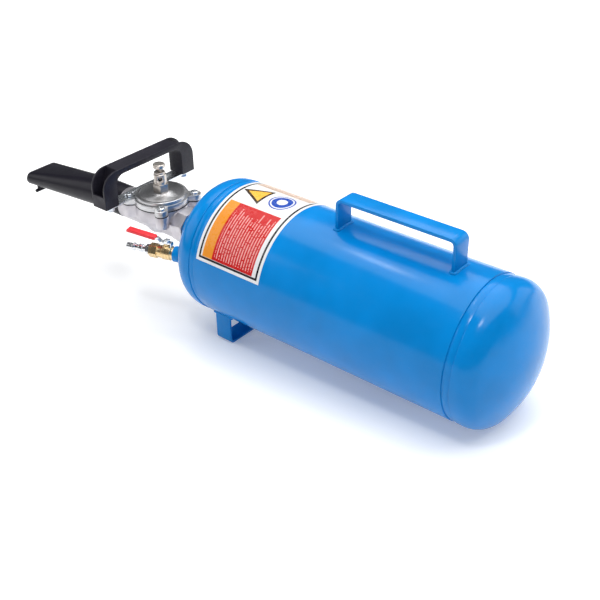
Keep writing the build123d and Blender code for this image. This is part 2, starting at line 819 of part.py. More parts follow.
with BuildPart() as plunger_seal:
    with BuildSketch(valve_plane.offset(plunger_seal_low)):
        Circle(plunger_disc - 0.3)
        Circle(plunger_radius, mode=Mode.SUBTRACT)
    extrude(amount=plunger_seal_high - plunger_seal_low)
write(plunger_seal, "plunger_seal")

with BuildPart() as spring_retainer:
    with BuildSketch(valve_plane.offset(pilot_low)):
        Circle(pilot_chamber - thread_gap)
        Circle(2.5, mode=Mode.SUBTRACT)
    extrude(amount=spring_seat_high - pilot_low)
write(spring_retainer, "spring_retainer")

pilot_spring = coil(
    valve_plane, plunger_disc - 1.5, small_spring_wire, spring_seat_high, plunger_disc_low, small_spring_turns
)
write(pilot_spring, "pilot_spring")

# ========================================================================= bridge grip
grip_x = valve_x + screw_half_pitch
grip_plane = Plane(origin=(grip_x, 0, axis_height), x_dir=(0, 1, 0), z_dir=(1, 0, 0))
grip_low = bracket_high
grip_top = grip_low + grip_height
leg_inner = grip_length / 2 - grip_leg
bolt_y = grip_length / 2 - grip_bolt_inset
bolt_ahead = screw_half_pitch + grip_bolt_shift
grip_bolt_places = [(bolt_ahead, bolt_y), (bolt_ahead, -bolt_y)]

with BuildPart() as grip_bracket:
    with BuildSketch(valve_plane.offset(bracket_low)):
        with Locations((screw_half_pitch, 0)):
            RectangleRounded(bracket_width, grip_length - 2 * bracket_inset, 4)
        Circle(cover_disc_radius + 1, mode=Mode.SUBTRACT)
        with Locations(*front_screws, *grip_bolt_places):
            Circle(screw_radius + screw_gap, mode=Mode.SUBTRACT)
    extrude(amount=bracket_thickness)
write(grip_bracket, "grip_bracket")

with BuildPart() as grip:
    with BuildSketch(grip_plane.offset(-grip_width / 2)) as grip_side:
        with Locations((0, grip_low + grip_height / 2)):
            Rectangle(grip_length, grip_height)
        fillet(grip_side.vertices().group_by(Axis.Y)[-1], grip_outer_corner)
    extrude(amount=grip_width)
    with BuildSketch(grip_plane.offset(-grip_width / 2)) as grip_gap:
        with Locations((0, grip_low + (grip_height - grip_bar) / 2)):
            Rectangle(2 * leg_inner, grip_height - grip_bar)
        fillet(grip_gap.vertices().group_by(Axis.Y)[-1], grip_inner_corner)
    extrude(amount=grip_width, mode=Mode.SUBTRACT)
    # each end is a channel that opens outwards above a low skirt
    pocket_y = leg_inner + grip_wall
    pocket_bend = grip_low + grip_height - grip_bar - grip_inner_corner
    for side in (1, -1):
        with BuildSketch(grip_plane.offset(grip_wall - grip_width / 2)):
            with BuildLine():
                Polyline(
                    (side * grip_web_end, grip_top + 1),
                    (side * grip_web_end, grip_top - grip_bar / 2),
                    (side * pocket_y, pocket_bend),
                    (side * pocket_y, grip_low + grip_wall),
                    (side * (grip_length / 2 - grip_wall), grip_low + grip_wall),
                    (side * (grip_length / 2 - grip_wall), grip_low + grip_skirt),
                    (side * (grip_length / 2 + 1), grip_low + grip_skirt),
                    (side * (grip_length / 2 + 1), grip_top + 1),
                    close=True,
                )
            make_face()
        extrude(amount=grip_width - 2 * grip_wall, mode=Mode.SUBTRACT)
    with BuildSketch(valve_plane.offset(grip_low)):
        with Locations(*grip_bolt_places):
            Circle(screw_radius + screw_gap)
    extrude(amount=grip_wall, mode=Mode.SUBTRACT)
write(grip, "grip")

with BuildPart() as grip_screws:
    with BuildSketch(valve_plane.offset(bracket_low - grip_nut_height - 2)):
        with Locations(*grip_bolt_places):
            Circle(screw_radius)
    extrude(amount=grip_low + grip_wall - bracket_low + grip_nut_height + 2)
    with BuildSketch(valve_plane.offset(grip_low + grip_wall)):
        with Locations(*grip_bolt_places):
            Circle(screw_head_radius)
    extrude(amount=screw_head_height)
    fillet(grip_screws.edges().filter_by(GeomType.CIRCLE).group_by(Axis.Z)[-1], screw_head_round)
    with BuildSketch(valve_plane.offset(grip_low + grip_wall + screw_head_height)):
        with Locations(*grip_bolt_places):
            RegularPolygon(across_flats(screw_hex), 6)
    extrude(amount=-screw_hex_depth, mode=Mode.SUBTRACT)
write(grip_screws, "grip_screws")

with BuildPart() as grip_nuts:
    with BuildSketch(valve_plane.offset(bracket_low)):
        with Locations(*grip_bolt_places):
            RegularPolygon(across_flats(grip_nut_hex), 6)
            Circle(screw_radius, mode=Mode.SUBTRACT)
    extrude(amount=-grip_nut_height)
write(grip_nuts, "grip_nuts")

# ============================================================================== barrel
socket_end = valve_outlet + barrel_socket_length
mouth_x = socket_end + barrel_length


def barrel_section(plane, width, height, drop):
    """Round-cornered section of the blast nozzle."""
    with BuildSketch(plane) as section:
        with Locations((0, -drop)):
            RectangleRounded(width, height, height / 2 - 0.2)
    return section.sketch


with BuildPart() as barrel_socket:
    with BuildSketch(cross_plane.offset(valve_outlet)):
        Circle(barrel_socket_radius)
        Circle(port_radius, mode=Mode.SUBTRACT)
    extrude(amount=barrel_socket_length)
    chamfer(barrel_socket.edges().filter_by(GeomType.CIRCLE).group_by(SortBy.RADIUS)[-1], 1.0)
    with BuildSketch(cross_plane.offset(valve_outlet)):
        Circle(thread_radius)
        Circle(port_radius, mode=Mode.SUBTRACT)
    extrude(amount=-thread_depth + rest_gap)
write(barrel_socket, "barrel_socket")

inner_radius = barrel_radius - barrel_wall
root = cross_plane.offset(socket_end)
mouth = cross_plane.offset(mouth_x)

with BuildPart() as barrel:
    loft(
        [
            barrel_section(root, 2 * barrel_radius, 2 * barrel_radius, 0),
            barrel_section(mouth, mouth_width, mouth_height, mouth_drop),
        ],
        ruled=True,
    )
    loft(
        [
            barrel_section(root, 2 * inner_radius, 2 * inner_radius, 0),
            barrel_section(mouth, mouth_width - 2 * barrel_wall, mouth_height - 2 * barrel_wall, mouth_drop),
        ],
        ruled=True,
        mode=Mode.SUBTRACT,
    )
write(barrel, "barrel")

hook_x = mouth_x - hook_back
mouth_low = -mouth_drop - mouth_height / 2
# the underside of the barrel falls a little from its mouth to its root
hook_rise = rest_gap + (barrel_radius + mouth_low) * (hook_back + hook_leg / 2) / barrel_length
hook_plane = Plane(origin=(hook_x, 0, axis_height), x_dir=(1, 0, 0), z_dir=(0, 0, 1))
hook_rod_plane = Plane(
    origin=(hook_x, -hook_length / 2, axis_height + mouth_low - hook_drop), x_dir=(1, 0, 0), z_dir=(0, 1, 0)
)

with BuildPart() as rim_hook:
    with BuildSketch(hook_rod_plane):
        Circle(hook_radius)
    extrude(amount=hook_length)
    fillet(rim_hook.edges().filter_by(GeomType.CIRCLE), 1.2)
    with BuildSketch(hook_plane.offset(mouth_low - hook_drop)):
        with Locations((0, hook_leg_spacing / 2), (0, -hook_leg_spacing / 2)):
            RectangleRounded(hook_leg, hook_leg, 1)
    extrude(amount=hook_drop - hook_rise)
write(rim_hook, "rim_hook")

# ========================================================================= inlet valve
with BuildPart() as inlet_bung:
    with BuildSketch(inlet_plane):
        Circle(bung_radius)
    extrude(amount=-bung_length)
    chamfer(inlet_bung.faces().sort_by(inlet_axis)[-1].edges(), 1.0)
    with BuildSketch(inlet_plane):
        Circle(inlet_thread + thread_gap)
    extrude(amount=-bung_length, mode=Mode.SUBTRACT)
write(inlet_bung, "inlet_bung")

cavity_radius = ball_radius + cock_wall
cavity_start = ball_at - ball_radius - seat_ring

with BuildPart() as cock_body:
    revolve(
        turned_outline(
            inlet_section,
            [(-inlet_thread_length, 0), (-inlet_thread_length, inlet_thread), (0, inlet_thread),
             (0, cock_end_radius), (3, cock_end_radius), (5, cock_radius), (19, cock_radius),
             (21, cock_end_radius), (cock_length, cock_end_radius), (cock_length, 0)],
        ),
        axis=inlet_axis,
    )
    with BuildSketch(stem_plane):
        Circle(stem_boss_radius)
    extrude(amount=stem_boss_top)
    with BuildSketch(inlet_plane.offset(-inlet_thread_length)):
        Circle(cock_bore)
    extrude(amount=cock_length + inlet_thread_length, mode=Mode.SUBTRACT)
    with BuildSketch(inlet_plane.offset(cavity_start)):
        Circle(cavity_radius)
    extrude(amount=cock_length - cavity_start, mode=Mode.SUBTRACT)
    with BuildSketch(stem_plane):
        Circle(stem_radius + stem_gap)
    extrude(amount=stem_boss_top, mode=Mode.SUBTRACT)
write(cock_body, "cock_body")

slot_low = ball_radius - 1.6
tang_width = 2.4

with BuildPart(stem_plane) as ball:
    Sphere(ball_radius)
    with BuildSketch(inlet_plane.offset(ball_at - ball_radius)):
        Circle(cock_bore)
    extrude(amount=2 * ball_radius, mode=Mode.SUBTRACT)
    with BuildSketch(stem_plane.offset(slot_low)):
        Rectangle(2 * ball_radius, tang_width)
    extrude(amount=ball_radius, mode=Mode.SUBTRACT)
write(ball, "ball")


def ball_seat_outline(side):
    """Half section of the seat on one side of the ball, hollowed to fit it."""
    room = ball_radius + ball_gap
    back = ball_radius + seat_ring
    front = back - seat_ring_length
    ring = cavity_radius - stem_gap
    middle = (front + sqrt(room ** 2 - cock_bore ** 2)) / 2
    with BuildSketch(inlet_section) as section:
        with BuildLine():
            Polyline(
                (ball_at + side * front, sqrt(room ** 2 - front ** 2)),
                (ball_at + side * front, ring),
                (ball_at + side * back, ring),
                (ball_at + side * back, cock_bore),
                (ball_at + side * sqrt(room ** 2 - cock_bore ** 2), cock_bore),
            )
            ThreePointArc(
                (ball_at + side * sqrt(room ** 2 - cock_bore ** 2), cock_bore),
                (ball_at + side * middle, sqrt(room ** 2 - middle ** 2)),
                (ball_at + side * front, sqrt(room ** 2 - front ** 2)),
            )
        make_face()
    return section.sketch


with BuildPart() as ball_seats:
    for side in (-1, 1):
        revolve(ball_seat_outline(side), axis=inlet_axis)
write(ball_seats, "ball_seats")

nut_low = stem_boss_top + gland_nut_height
lever_low = nut_low + rest_gap
lever_high = lever_low + lever_thickness

with BuildPart() as stem:
    with BuildSketch(stem_plane.offset(ball_radius + ball_gap)):
        Circle(stem_radius)
    extrude(amount=lever_low - ball_radius - ball_gap)
    with BuildSketch(stem_plane.offset(lever_low)):
        Circle(stem_radius - 0.5)
    extrude(amount=lever_thickness + lever_nut_height + 1)
    with BuildSketch(stem_plane.offset(slot_low + rest_gap)):
        Rectangle(2 * stem_radius - 1, tang_width - 2 * stem_gap)
    extrude(amount=ball_radius + ball_gap - slot_low - rest_gap)
write(stem, "stem")

with BuildPart() as gland_nut:
    with BuildSketch(stem_plane.offset(stem_boss_top)):
        RegularPolygon(across_flats(gland_hex), 6)
        Circle(stem_radius + stem_gap, mode=Mode.SUBTRACT)
    extrude(amount=gland_nut_height)
write(gland_nut, "gland_nut")

tab_low = cock_radius + 1.0
raised_low = lever_low + lever_rise
arm_start = lever_bend_at + lever_rise
arm_length = lever_length - arm_start
slope = radians(lever_slope)
arm_way = inlet_way * cos(slope) + Vector(0, 0, sin(slope))
arm_up = Vector(0, 0, cos(slope)) - inlet_way * sin(slope)
arm_plane = Plane(
    origin=ball_centre + inlet_way * arm_start + Vector(0, 0, raised_low), x_dir=arm_way, z_dir=arm_up
)


def on_arm(along, up):
    """Point of the lever's side view, measured along and square to its arm."""
    return (arm_start + along * cos(slope) - up * sin(slope), raised_low + along * sin(slope) + up * cos(slope))


with BuildPart() as lever:
    with BuildSketch(stem_section):
        with BuildLine():
            Polyline(
                (-lever_tail, tab_low),
                (-lever_tail, lever_high),
                (lever_bend_at, lever_high),
                on_arm(0, lever_thickness),
                on_arm(arm_length, lever_thickness),
                on_arm(arm_length, 0),
                on_arm(0.8, 0),
                (lever_bend_at + 0.8, lever_low),
                (lever_thickness - lever_tail, lever_low),
                (lever_thickness - lever_tail, tab_low),
                close=True,
            )
        make_face()
    extrude(amount=lever_width / 2, both=True)
    with BuildSketch(stem_plane.offset(lever_low)):
        Circle(stem_radius - 0.5 + stem_gap)
    extrude(amount=lever_thickness, mode=Mode.SUBTRACT)
write(lever, "lever")

sleeve_width = lever_width + 2 * sleeve_wall
sleeve_length = arm_length + sleeve_wall - sleeve_start

with BuildPart() as lever_sleeve:
    with BuildSketch(arm_plane.offset(-sleeve_wall)) as sleeve_plan:
        with Locations((sleeve_start + sleeve_length / 2, 0)):
            Rectangle(sleeve_length, sleeve_width)
        fillet(sleeve_plan.vertices().sort_by_distance(arm_plane.origin)[-2:], sleeve_width / 2 - 1)
    extrude(amount=lever_thickness + 2 * sleeve_wall)
    sleeve_faces = lever_sleeve.faces().sort_by(Axis(arm_plane.origin, arm_up))
    fillet(sleeve_faces[0].edges() + sleeve_faces[-1].edges(), 1.5)
    with BuildSketch(arm_plane.offset(-sleeve_gap)):
        with Locations((arm_length / 2, 0)):
            Rectangle(arm_length + 2 * sleeve_gap, lever_width + 2 * sleeve_gap)
    extrude(amount=lever_thickness + 2 * sleeve_gap, mode=Mode.SUBTRACT)
write(lever_sleeve, "lever_sleeve")

with BuildPart() as lever_nut:
    with BuildSketch(stem_plane.offset(lever_high)):
        RegularPolygon(across_flats(lever_nut_hex), 6)
        Circle(stem_radius - 0.5, mode=Mode.SUBTRACT)
    extrude(amount=lever_nut_height)
    chamfer(lever_nut.faces().sort_by(Axis.Z)[-1].outer_wire().edges(), 0.6)
write(lever_nut, "lever_nut")

spigot_start = ball_at + ball_radius + seat_ring
end_face = cock_length + end_length

with BuildPart() as cock_end:
    with BuildSketch(inlet_plane.offset(cock_length)):
        RegularPolygon(across_flats(end_hex), 6)
    extrude(amount=end_length)
    with BuildSketch(inlet_plane.offset(spigot_start)):
        Circle(cavity_radius - thread_gap)
    extrude(amount=cock_length - spigot_start)
    with BuildSketch(inlet_plane.offset(spigot_start)):
        Circle(cock_bore)
    extrude(amount=end_face - spigot_start, mode=Mode.SUBTRACT)
    with BuildSketch(inlet_plane.offset(end_face)):
        Circle(plug_thread + thread_gap)
    extrude(amount=-plug_sunk - 1, mode=Mode.SUBTRACT)
write(cock_end, "cock_end")

plug_hex_end = end_face + plug_hex_length
# steps of the plug ahead of its hexagon, as distance and radius
plug_steps = [(0, 5.2), (6, 5.2), (7, 6.6), (13, 6.6), (14.5, 5.0), (20, 5.0), (21.5, 6.8), (24, 6.8), (25, 5.8),
              (35, 5.8), (36.5, 4.4)]

with BuildPart() as coupler_plug:
    revolve(
        turned_outline(
            inlet_section,
            [(end_face - plug_sunk, plug_bore), (end_face - plug_sunk, plug_thread), (end_face, plug_thread),
             (end_face, plug_shoulder), (plug_hex_end, plug_shoulder),
             *[(plug_hex_end + ahead, radius) for ahead, radius in plug_steps],
             (plug_hex_end + plug_steps[-1][0], plug_bore)],
        ),
        axis=inlet_axis,
    )
    with BuildSketch(inlet_plane.offset(end_face)):
        RegularPolygon(across_flats(plug_hex), 6)
        Circle(plug_bore, mode=Mode.SUBTRACT)
    extrude(amount=plug_hex_length)
write(coupler_plug, "coupler_plug")
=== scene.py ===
import json
import math

import bmesh
import bpy
from bpy.props import FloatProperty, FloatVectorProperty, IntProperty, PointerProperty
from mathutils import Matrix, Vector


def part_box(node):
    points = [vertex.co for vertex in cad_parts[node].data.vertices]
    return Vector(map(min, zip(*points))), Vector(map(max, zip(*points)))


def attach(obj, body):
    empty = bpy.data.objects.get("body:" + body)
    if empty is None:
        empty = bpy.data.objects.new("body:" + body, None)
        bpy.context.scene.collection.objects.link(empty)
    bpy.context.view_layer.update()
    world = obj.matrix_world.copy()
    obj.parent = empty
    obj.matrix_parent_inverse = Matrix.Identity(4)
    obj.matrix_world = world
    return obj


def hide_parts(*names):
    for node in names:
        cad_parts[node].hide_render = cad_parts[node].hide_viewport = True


bl_info = {
    "name": "Air Receiver With Blast Nozzle",
    "version": (1, 0, 0),
    "blender": (4, 5, 0),
    "location": "3D View > Sidebar > Receiver",
    "description": "Builds the visible pieces and finishes of a portable air receiver",
    "category": "Object",
}

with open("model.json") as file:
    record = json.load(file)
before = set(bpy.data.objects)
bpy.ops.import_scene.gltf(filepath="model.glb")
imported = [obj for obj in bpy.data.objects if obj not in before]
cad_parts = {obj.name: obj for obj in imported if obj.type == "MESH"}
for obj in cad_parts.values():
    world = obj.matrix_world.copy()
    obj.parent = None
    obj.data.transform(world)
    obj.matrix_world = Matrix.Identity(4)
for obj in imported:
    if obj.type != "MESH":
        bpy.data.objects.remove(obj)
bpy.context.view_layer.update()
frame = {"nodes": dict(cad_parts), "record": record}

MM = 0.001
TURN = 2 * math.pi
SUNK = 0.4 * MM             # how far the ends of the bent bars go into the tank's surface
WELD_OUT = 0.9 * MM         # middle of a weld bead, out from the bar's face
WELD_LIFT = 0.1 * MM        # the same, off the tank's surface
WELD_CORNER = 1.6 * MM      # radius at the corners of a weld's line
WELD_STEP = 0.6 * MM        # longest step along it
BARREL_WALL = 2 * MM
BARREL_CORNER = 0.2 * MM    # how much less than half its height the barrel's corner radius is
MOUTH_HALF = 12 * MM        # half the height of the barrel's mouth

# Places that follow from the fixed parts. The tank axis runs along X.
SHELL_LOW, SHELL_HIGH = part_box("shell")
TANK_RADIUS = (SHELL_HIGH.z - SHELL_LOW.z) / 2
AXIS_HEIGHT = (SHELL_HIGH.z + SHELL_LOW.z) / 2
FRONT_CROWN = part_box("front_head")[1].x
REAR_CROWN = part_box("rear_head")[0].x
COVER_LOW, COVER_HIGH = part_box("valve_cover")
VALVE_CENTRE = (COVER_LOW + COVER_HIGH) / 2
PLUG_LOW, PLUG_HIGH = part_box("coupler_plug")
PLUG_CENTRE = (PLUG_LOW + PLUG_HIGH) / 2
LABEL_LOW, LABEL_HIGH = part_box("label")
LABEL_NEAR, LABEL_FAR = 74.0, -62.0     # degrees from the top of the shell to the label's two ends
BUNG_LOW, BUNG_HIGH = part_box("inlet_bung")
INLET_LINE = PLUG_CENTRE - (BUNG_LOW + BUNG_HIGH) / 2


# ------------------------------------------------------------------ sizes and colours
class TankSizes(bpy.types.PropertyGroup):
    """Sizes of the pressed and welded sheet parts."""
    wall: FloatProperty(name="Sheet thickness", description="Wall of the shell and heads",
                        default=2.5 * MM, unit="LENGTH")
    knuckle: FloatProperty(name="Knuckle radius", description="Bend between a head's flange and crown",
                           default=34 * MM, unit="LENGTH")
    crown: FloatProperty(name="Crown radius", description="Dish radius of the heads",
                         default=176 * MM, unit="LENGTH")
    flange: FloatProperty(name="Flange", description="Straight part of a head before its knuckle",
                          default=8.5 * MM, unit="LENGTH")
    edge_round: FloatProperty(name="Edge rounding", description="Rounded sheet edge at each seam",
                              default=1.3 * MM, unit="LENGTH")
    seam_sink: FloatProperty(name="Seam depth", description="How far a seam lies below the shell",
                             default=1.5 * MM, unit="LENGTH")
    sectors: IntProperty(name="Sectors", description="Faces round the tank", default=256, min=32)


class StrapSizes(bpy.types.PropertyGroup):
    """Sizes of the bent flat bars and their welds."""
    handle_thickness: FloatProperty(name="Handle thickness", description="Flat bar of the carry handle",
                                    default=5.5 * MM, unit="LENGTH")
    handle_bend: FloatProperty(name="Handle bend", description="Outer bend radius of the handle",
                               default=11 * MM, unit="LENGTH")
    foot_thickness: FloatProperty(name="Foot thickness", description="Flat bar of the foot",
                                  default=4 * MM, unit="LENGTH")
    foot_bend: FloatProperty(name="Foot bend", description="Outer bend radius of the foot",
                             default=9 * MM, unit="LENGTH")
    bead: FloatProperty(name="Weld bead", description="Radius of the fillet weld's bead",
                        default=2.6 * MM, unit="LENGTH")
    ripple: FloatProperty(name="Weld ripple", description="Pitch of the ripples in a weld bead",
                          default=2.2 * MM, unit="LENGTH")


class FinishColours(bpy.types.PropertyGroup):
    """Base colours of the finishes."""
    enamel: FloatVectorProperty(name="Tank enamel", description="Glossy blue of the tank",
                                default=(0.000, 0.215, 0.600), subtype="COLOR", size=3)
    orange: FloatVectorProperty(name="Label band", description="Orange band of the label",
                                default=(0.74, 0.26, 0.022), subtype="COLOR", size=3)
    red: FloatVectorProperty(name="Label block", description="Red block of the label",
                             default=(0.52, 0.010, 0.010), subtype="COLOR", size=3)
    sleeve: FloatVectorProperty(name="Lever sleeve", description="Red of the lever's vinyl sleeve",
                                default=(0.68, 0.012, 0.022), subtype="COLOR", size=3)
    brass: FloatVectorProperty(name="Brass", description="Colour of the ball valve",
                               default=(0.84, 0.62, 0.33), subtype="COLOR", size=3)
    plastic: FloatVectorProperty(name="Grip plastic", description="Black of the bridge grip",
                                 default=(0.010, 0.009, 0.016), subtype="COLOR", size=3)


# --------------------------------------------------------------------- shader helpers
def node(tree, kind, inputs=None, **settings):
    """Add a shader node, then set or link the inputs that are named."""
    made = tree.nodes.new(kind)
    for key, value in settings.items():
        setattr(made, key, value)
    for key, value in (inputs or {}).items():
        if isinstance(value, bpy.types.NodeSocket):
            tree.links.new(value, made.inputs[key])
        else:
            made.inputs[key].default_value = value
    return made


def maths(tree, operation, first, second=0.0, third=None, clamp=False):
    """Value of one Math node."""
    values = {0: first, 1: second}
    if third is not None:
        values[2] = third
    return node(tree, "ShaderNodeMath", values, operation=operation, use_clamp=clamp).outputs[0]


def ramp(tree, value, low, high, to_low=0.0, to_high=1.0):
    """Value moved from one range to another, and held at its ends."""
    ends = {"From Min": low, "From Max": high, "To Min": to_low, "To Max": to_high}
    return node(tree, "ShaderNodeMapRange", {"Value": value, **ends}).outputs[0]


def vector_maths(tree, operation, *values):
    """Output sockets of one Vector Math node."""
    return node(tree, "ShaderNodeVectorMath", dict(enumerate(values)), operation=operation).outputs


def noise(tree, vector, scale, detail=2.0, roughness=0.5):
    """Factor of a noise texture."""
    return node(tree, "ShaderNodeTexNoise",
                {"Vector": vector, "Scale": scale, "Detail": detail, "Roughness": roughness}).outputs["Fac"]


def mix_colour(tree, factor, first, second, blend="MIX"):
    """Colour between two colours."""
    made = node(tree, "ShaderNodeMix", data_type="RGBA", blend_type=blend)
    for socket, value in ((made.inputs[0], factor), (made.inputs[6], first), (made.inputs[7], second)):
        if isinstance(value, bpy.types.NodeSocket):
            tree.links.new(value, socket)
        else:
            socket.default_value = value if isinstance(value, float) else (*value, 1)[:4]
    return made.outputs[2]


def group(name, inputs, outputs, build):
    """Shader node group made once; build gets its tree and the two socket lists."""
    tree = bpy.data.node_groups.get(name)
    if tree:
        return tree
    tree = bpy.data.node_groups.new(name, "ShaderNodeTree")
    for label, kind, default in inputs:
        socket = tree.interface.new_socket(label, in_out="INPUT", socket_type=kind)
        if default is not None:
            socket.default_value = default
    for label, kind in outputs:
        tree.interface.new_socket(label, in_out="OUTPUT", socket_type=kind)
    begin = tree.nodes.new("NodeGroupInput")
    end = tree.nodes.new("NodeGroupOutput")
    for label, value in build(tree, begin.outputs).items():
        tree.links.new(value, end.inputs[label])
    return tree


VALUE, VECTOR, COLOUR = "NodeSocketFloat", "NodeSocketVector", "NodeSocketColor"


def fill(tree, made, **values):
    """Set or link a node's sockets; underscores in names stand for spaces."""
    for key, value in values.items():
        socket = made.inputs[key.replace("_", " ")]
        if isinstance(value, bpy.types.NodeSocket):
            tree.links.new(value, socket)
        else:
            socket.default_value = value


def place(tree, shader_group, **values):
    """Node that uses a shader group, with its sockets filled."""
    made = tree.nodes.new("ShaderNodeGroup")
    made.node_tree = shader_group
    fill(tree, made, **values)
    return made


# ------------------------------------------------------------------------ node groups
def paint_skin():
    """Orange peel of sprayed enamel, with faint runs and handling marks."""
    def build(tree, given):
        fine = noise(tree, given["Vector"], given["Peel Scale"], 3.0)
        broad = noise(tree, given["Vector"], 14.0, 2.0)
        height = maths(tree, "MULTIPLY_ADD", broad, 2.5, fine)
        marks = noise(tree, given["Vector"], 55.0, 5.0, 0.65)
        smudge = ramp(tree, marks, 0.42, 0.72)
        return {"Height": height, "Smudge": smudge, "Fade": broad}

    return group("Paint Skin", [("Vector", VECTOR, None), ("Peel Scale", VALUE, 700.0)],
                 [("Height", VALUE), ("Smudge", VALUE), ("Fade", VALUE)], build)


def cast_skin():
    """Sand-blasted casting: grain, shallow pits and dull patches."""
    def build(tree, given):
        grain = noise(tree, given["Vector"], given["Grain Scale"], 4.0, 0.6)
        cells = node(tree, "ShaderNodeTexVoronoi", {"Vector": given["Vector"], "Scale": 420.0})
        pits = ramp(tree, cells.outputs["Distance"], 0.0, 0.22, 1.0, 0.0)
        rare = ramp(tree, noise(tree, given["Vector"], 90.0), 0.6, 0.68)
        pits = maths(tree, "MULTIPLY", pits, rare)
        height = maths(tree, "SUBTRACT", grain, pits)
        patches = noise(tree, given["Vector"], 38.0, 4.0, 0.6)
        return {"Height": height, "Pits": pits, "Patches": patches}

    return group("Cast Skin", [("Vector", VECTOR, None), ("Grain Scale", VALUE, 900.0)],
                 [("Height", VALUE), ("Pits", VALUE), ("Patches", VALUE)], build)


def lathe_marks():
    """Fine rings left by a turning tool about the local Z axis."""
    def build(tree, given):
        flat = vector_maths(tree, "MULTIPLY", given["Vector"], (1.0, 1.0, 0.0))[0]
        radius = vector_maths(tree, "LENGTH", flat)["Value"]
        along = node(tree, "ShaderNodeSeparateXYZ", {0: given["Vector"]}).outputs[2]
        travel = maths(tree, "ADD", radius, along)
        turns = maths(tree, "DIVIDE", travel, given["Pitch"])
        wave = maths(tree, "SINE", maths(tree, "MULTIPLY", turns, TURN))
        slow = maths(tree, "MULTIPLY", turns, 0.37)
        rings = node(tree, "ShaderNodeTexNoise", {"W": slow, "Scale": 1.0, "Detail": 3.0},
                     noise_dimensions="1D").outputs["Fac"]
        height = maths(tree, "MULTIPLY_ADD", wave, 0.35, rings)
        return {"Height": height, "Rings": rings, "Radius": radius}

    return group("Lathe Marks", [("Vector", VECTOR, None), ("Pitch", VALUE, 0.0005)],
                 [("Height", VALUE), ("Rings", VALUE), ("Radius", VALUE)], build)


def wear():
    """Patchy rubbing and dust; the mask is strongest where two noises agree."""
    def build(tree, given):
        broad = noise(tree, given["Vector"], given["Scale"], 3.0, 0.6)
        fine = noise(tree, given["Vector"], maths(tree, "MULTIPLY", given["Scale"], 9.0), 4.0, 0.7)
        mask = ramp(tree, maths(tree, "MULTIPLY", broad, fine), 0.22, 0.42)
        streak_vector = vector_maths(tree, "MULTIPLY", given["Vector"], (60.0, 900.0, 900.0))[0]
        scratches = ramp(tree, noise(tree, streak_vector, 1.0, 2.0), 0.66, 0.72)
        return {"Mask": mask, "Scratches": scratches}

    return group("Wear", [("Vector", VECTOR, None), ("Scale", VALUE, 25.0)],
                 [("Mask", VALUE), ("Scratches", VALUE)], build)


def panel_mask():
    """One inside a rectangle of two coordinates, and nought outside it."""
    def build(tree, given):
        sides = []
        for name in ("U", "V"):
            middle = maths(tree, "SUBTRACT", given[name], given[name + " Middle"])
            distance = maths(tree, "ABSOLUTE", middle)
            sides.append(maths(tree, "LESS_THAN", distance, given[name + " Half"]))
        return {"Mask": maths(tree, "MULTIPLY", *sides)}

    inputs = [(n, VALUE, 0.0) for n in ("U", "V", "U Middle", "V Middle", "U Half", "V Half")]
    return group("Panel Mask", inputs, [("Mask", VALUE)], build)


# -------------------------------------------------------------------------- materials
def start_material(name):
    """Empty node material: its tree, object coordinates and main shader."""
    material = bpy.data.materials.new(name)
    material.use_nodes = True
    tree = material.node_tree
    tree.nodes.clear()
    coordinates = node(tree, "ShaderNodeTexCoord").outputs["Object"]
    shader = tree.nodes.new("ShaderNodeBsdfPrincipled")
    out = tree.nodes.new("ShaderNodeOutputMaterial")
    tree.links.new(shader.outputs[0], out.inputs["Surface"])
    return material, tree, coordinates, shader


def bump(tree, height, strength, distance):
    """Normal pushed by a height."""
    values = {"Height": height, "Strength": strength, "Distance": distance}
    return node(tree, "ShaderNodeBump", values).outputs[0]


def centred(tree, coordinates, point, turned=(0.0, 0.0, 0.0)):
    """Coordinates measured from a point of the part, and turned."""
    moved = vector_maths(tree, "SUBTRACT", coordinates, tuple(point))[0]
    return node(tree, "ShaderNodeMapping", {"Vector": moved, "Rotation": turned}).outputs[0]


def enamel_material(name, colour, roughness=0.17, shine=0.20, peel=0.05):
    """Sprayed enamel: orange peel, smudges, and a little dust rubbed in."""
    material, tree, coordinates, shader = start_material(name)
    skin = place(tree, paint_skin(), Vector=coordinates)
    rubbed = place(tree, wear(), Vector=coordinates, Scale=18.0)
    dark = tuple(c * 0.86 for c in colour)
    base = mix_colour(tree, ramp(tree, skin.outputs["Fade"], 0.35, 0.65), dark, colour)
    dusty = tuple(min(1.0, c * 0.9 + 0.010) for c in colour)
    base = mix_colour(tree, maths(tree, "MULTIPLY", rubbed.outputs["Mask"], 0.20), base, dusty)
    rough = ramp(tree, skin.outputs["Smudge"], 0.0, 1.0, roughness, roughness + 0.07)
    rough = maths(tree, "MULTIPLY_ADD", rubbed.outputs["Scratches"], 0.06, rough)
    fill(tree, shader, Base_Color=base, Roughness=rough, IOR=1.5, Specular_IOR_Level=shine,
         Normal=bump(tree, skin.outputs["Height"], peel, 0.0006))
    return material


def cast_material(name):
    """Blasted aluminium casting: grain, pits and duller patches."""
    material, tree, coordinates, shader = start_material(name)
    skin = place(tree, cast_skin(), Vector=coordinates, Grain_Scale=1100.0)
    patches = ramp(tree, skin.outputs["Patches"], 0.35, 0.68)
    base = mix_colour(tree, patches, (0.50, 0.48, 0.51), (0.62, 0.60, 0.63))
    base = mix_colour(tree, maths(tree, "MULTIPLY", skin.outputs["Pits"], 0.8), base, (0.18, 0.18, 0.20))
    rough = ramp(tree, skin.outputs["Patches"], 0.3, 0.7, 0.48, 0.36)
    fill(tree, shader, Base_Color=base, Metallic=0.85, Roughness=rough,
         Normal=bump(tree, skin.outputs["Height"], 0.35, 0.0004))
    return material


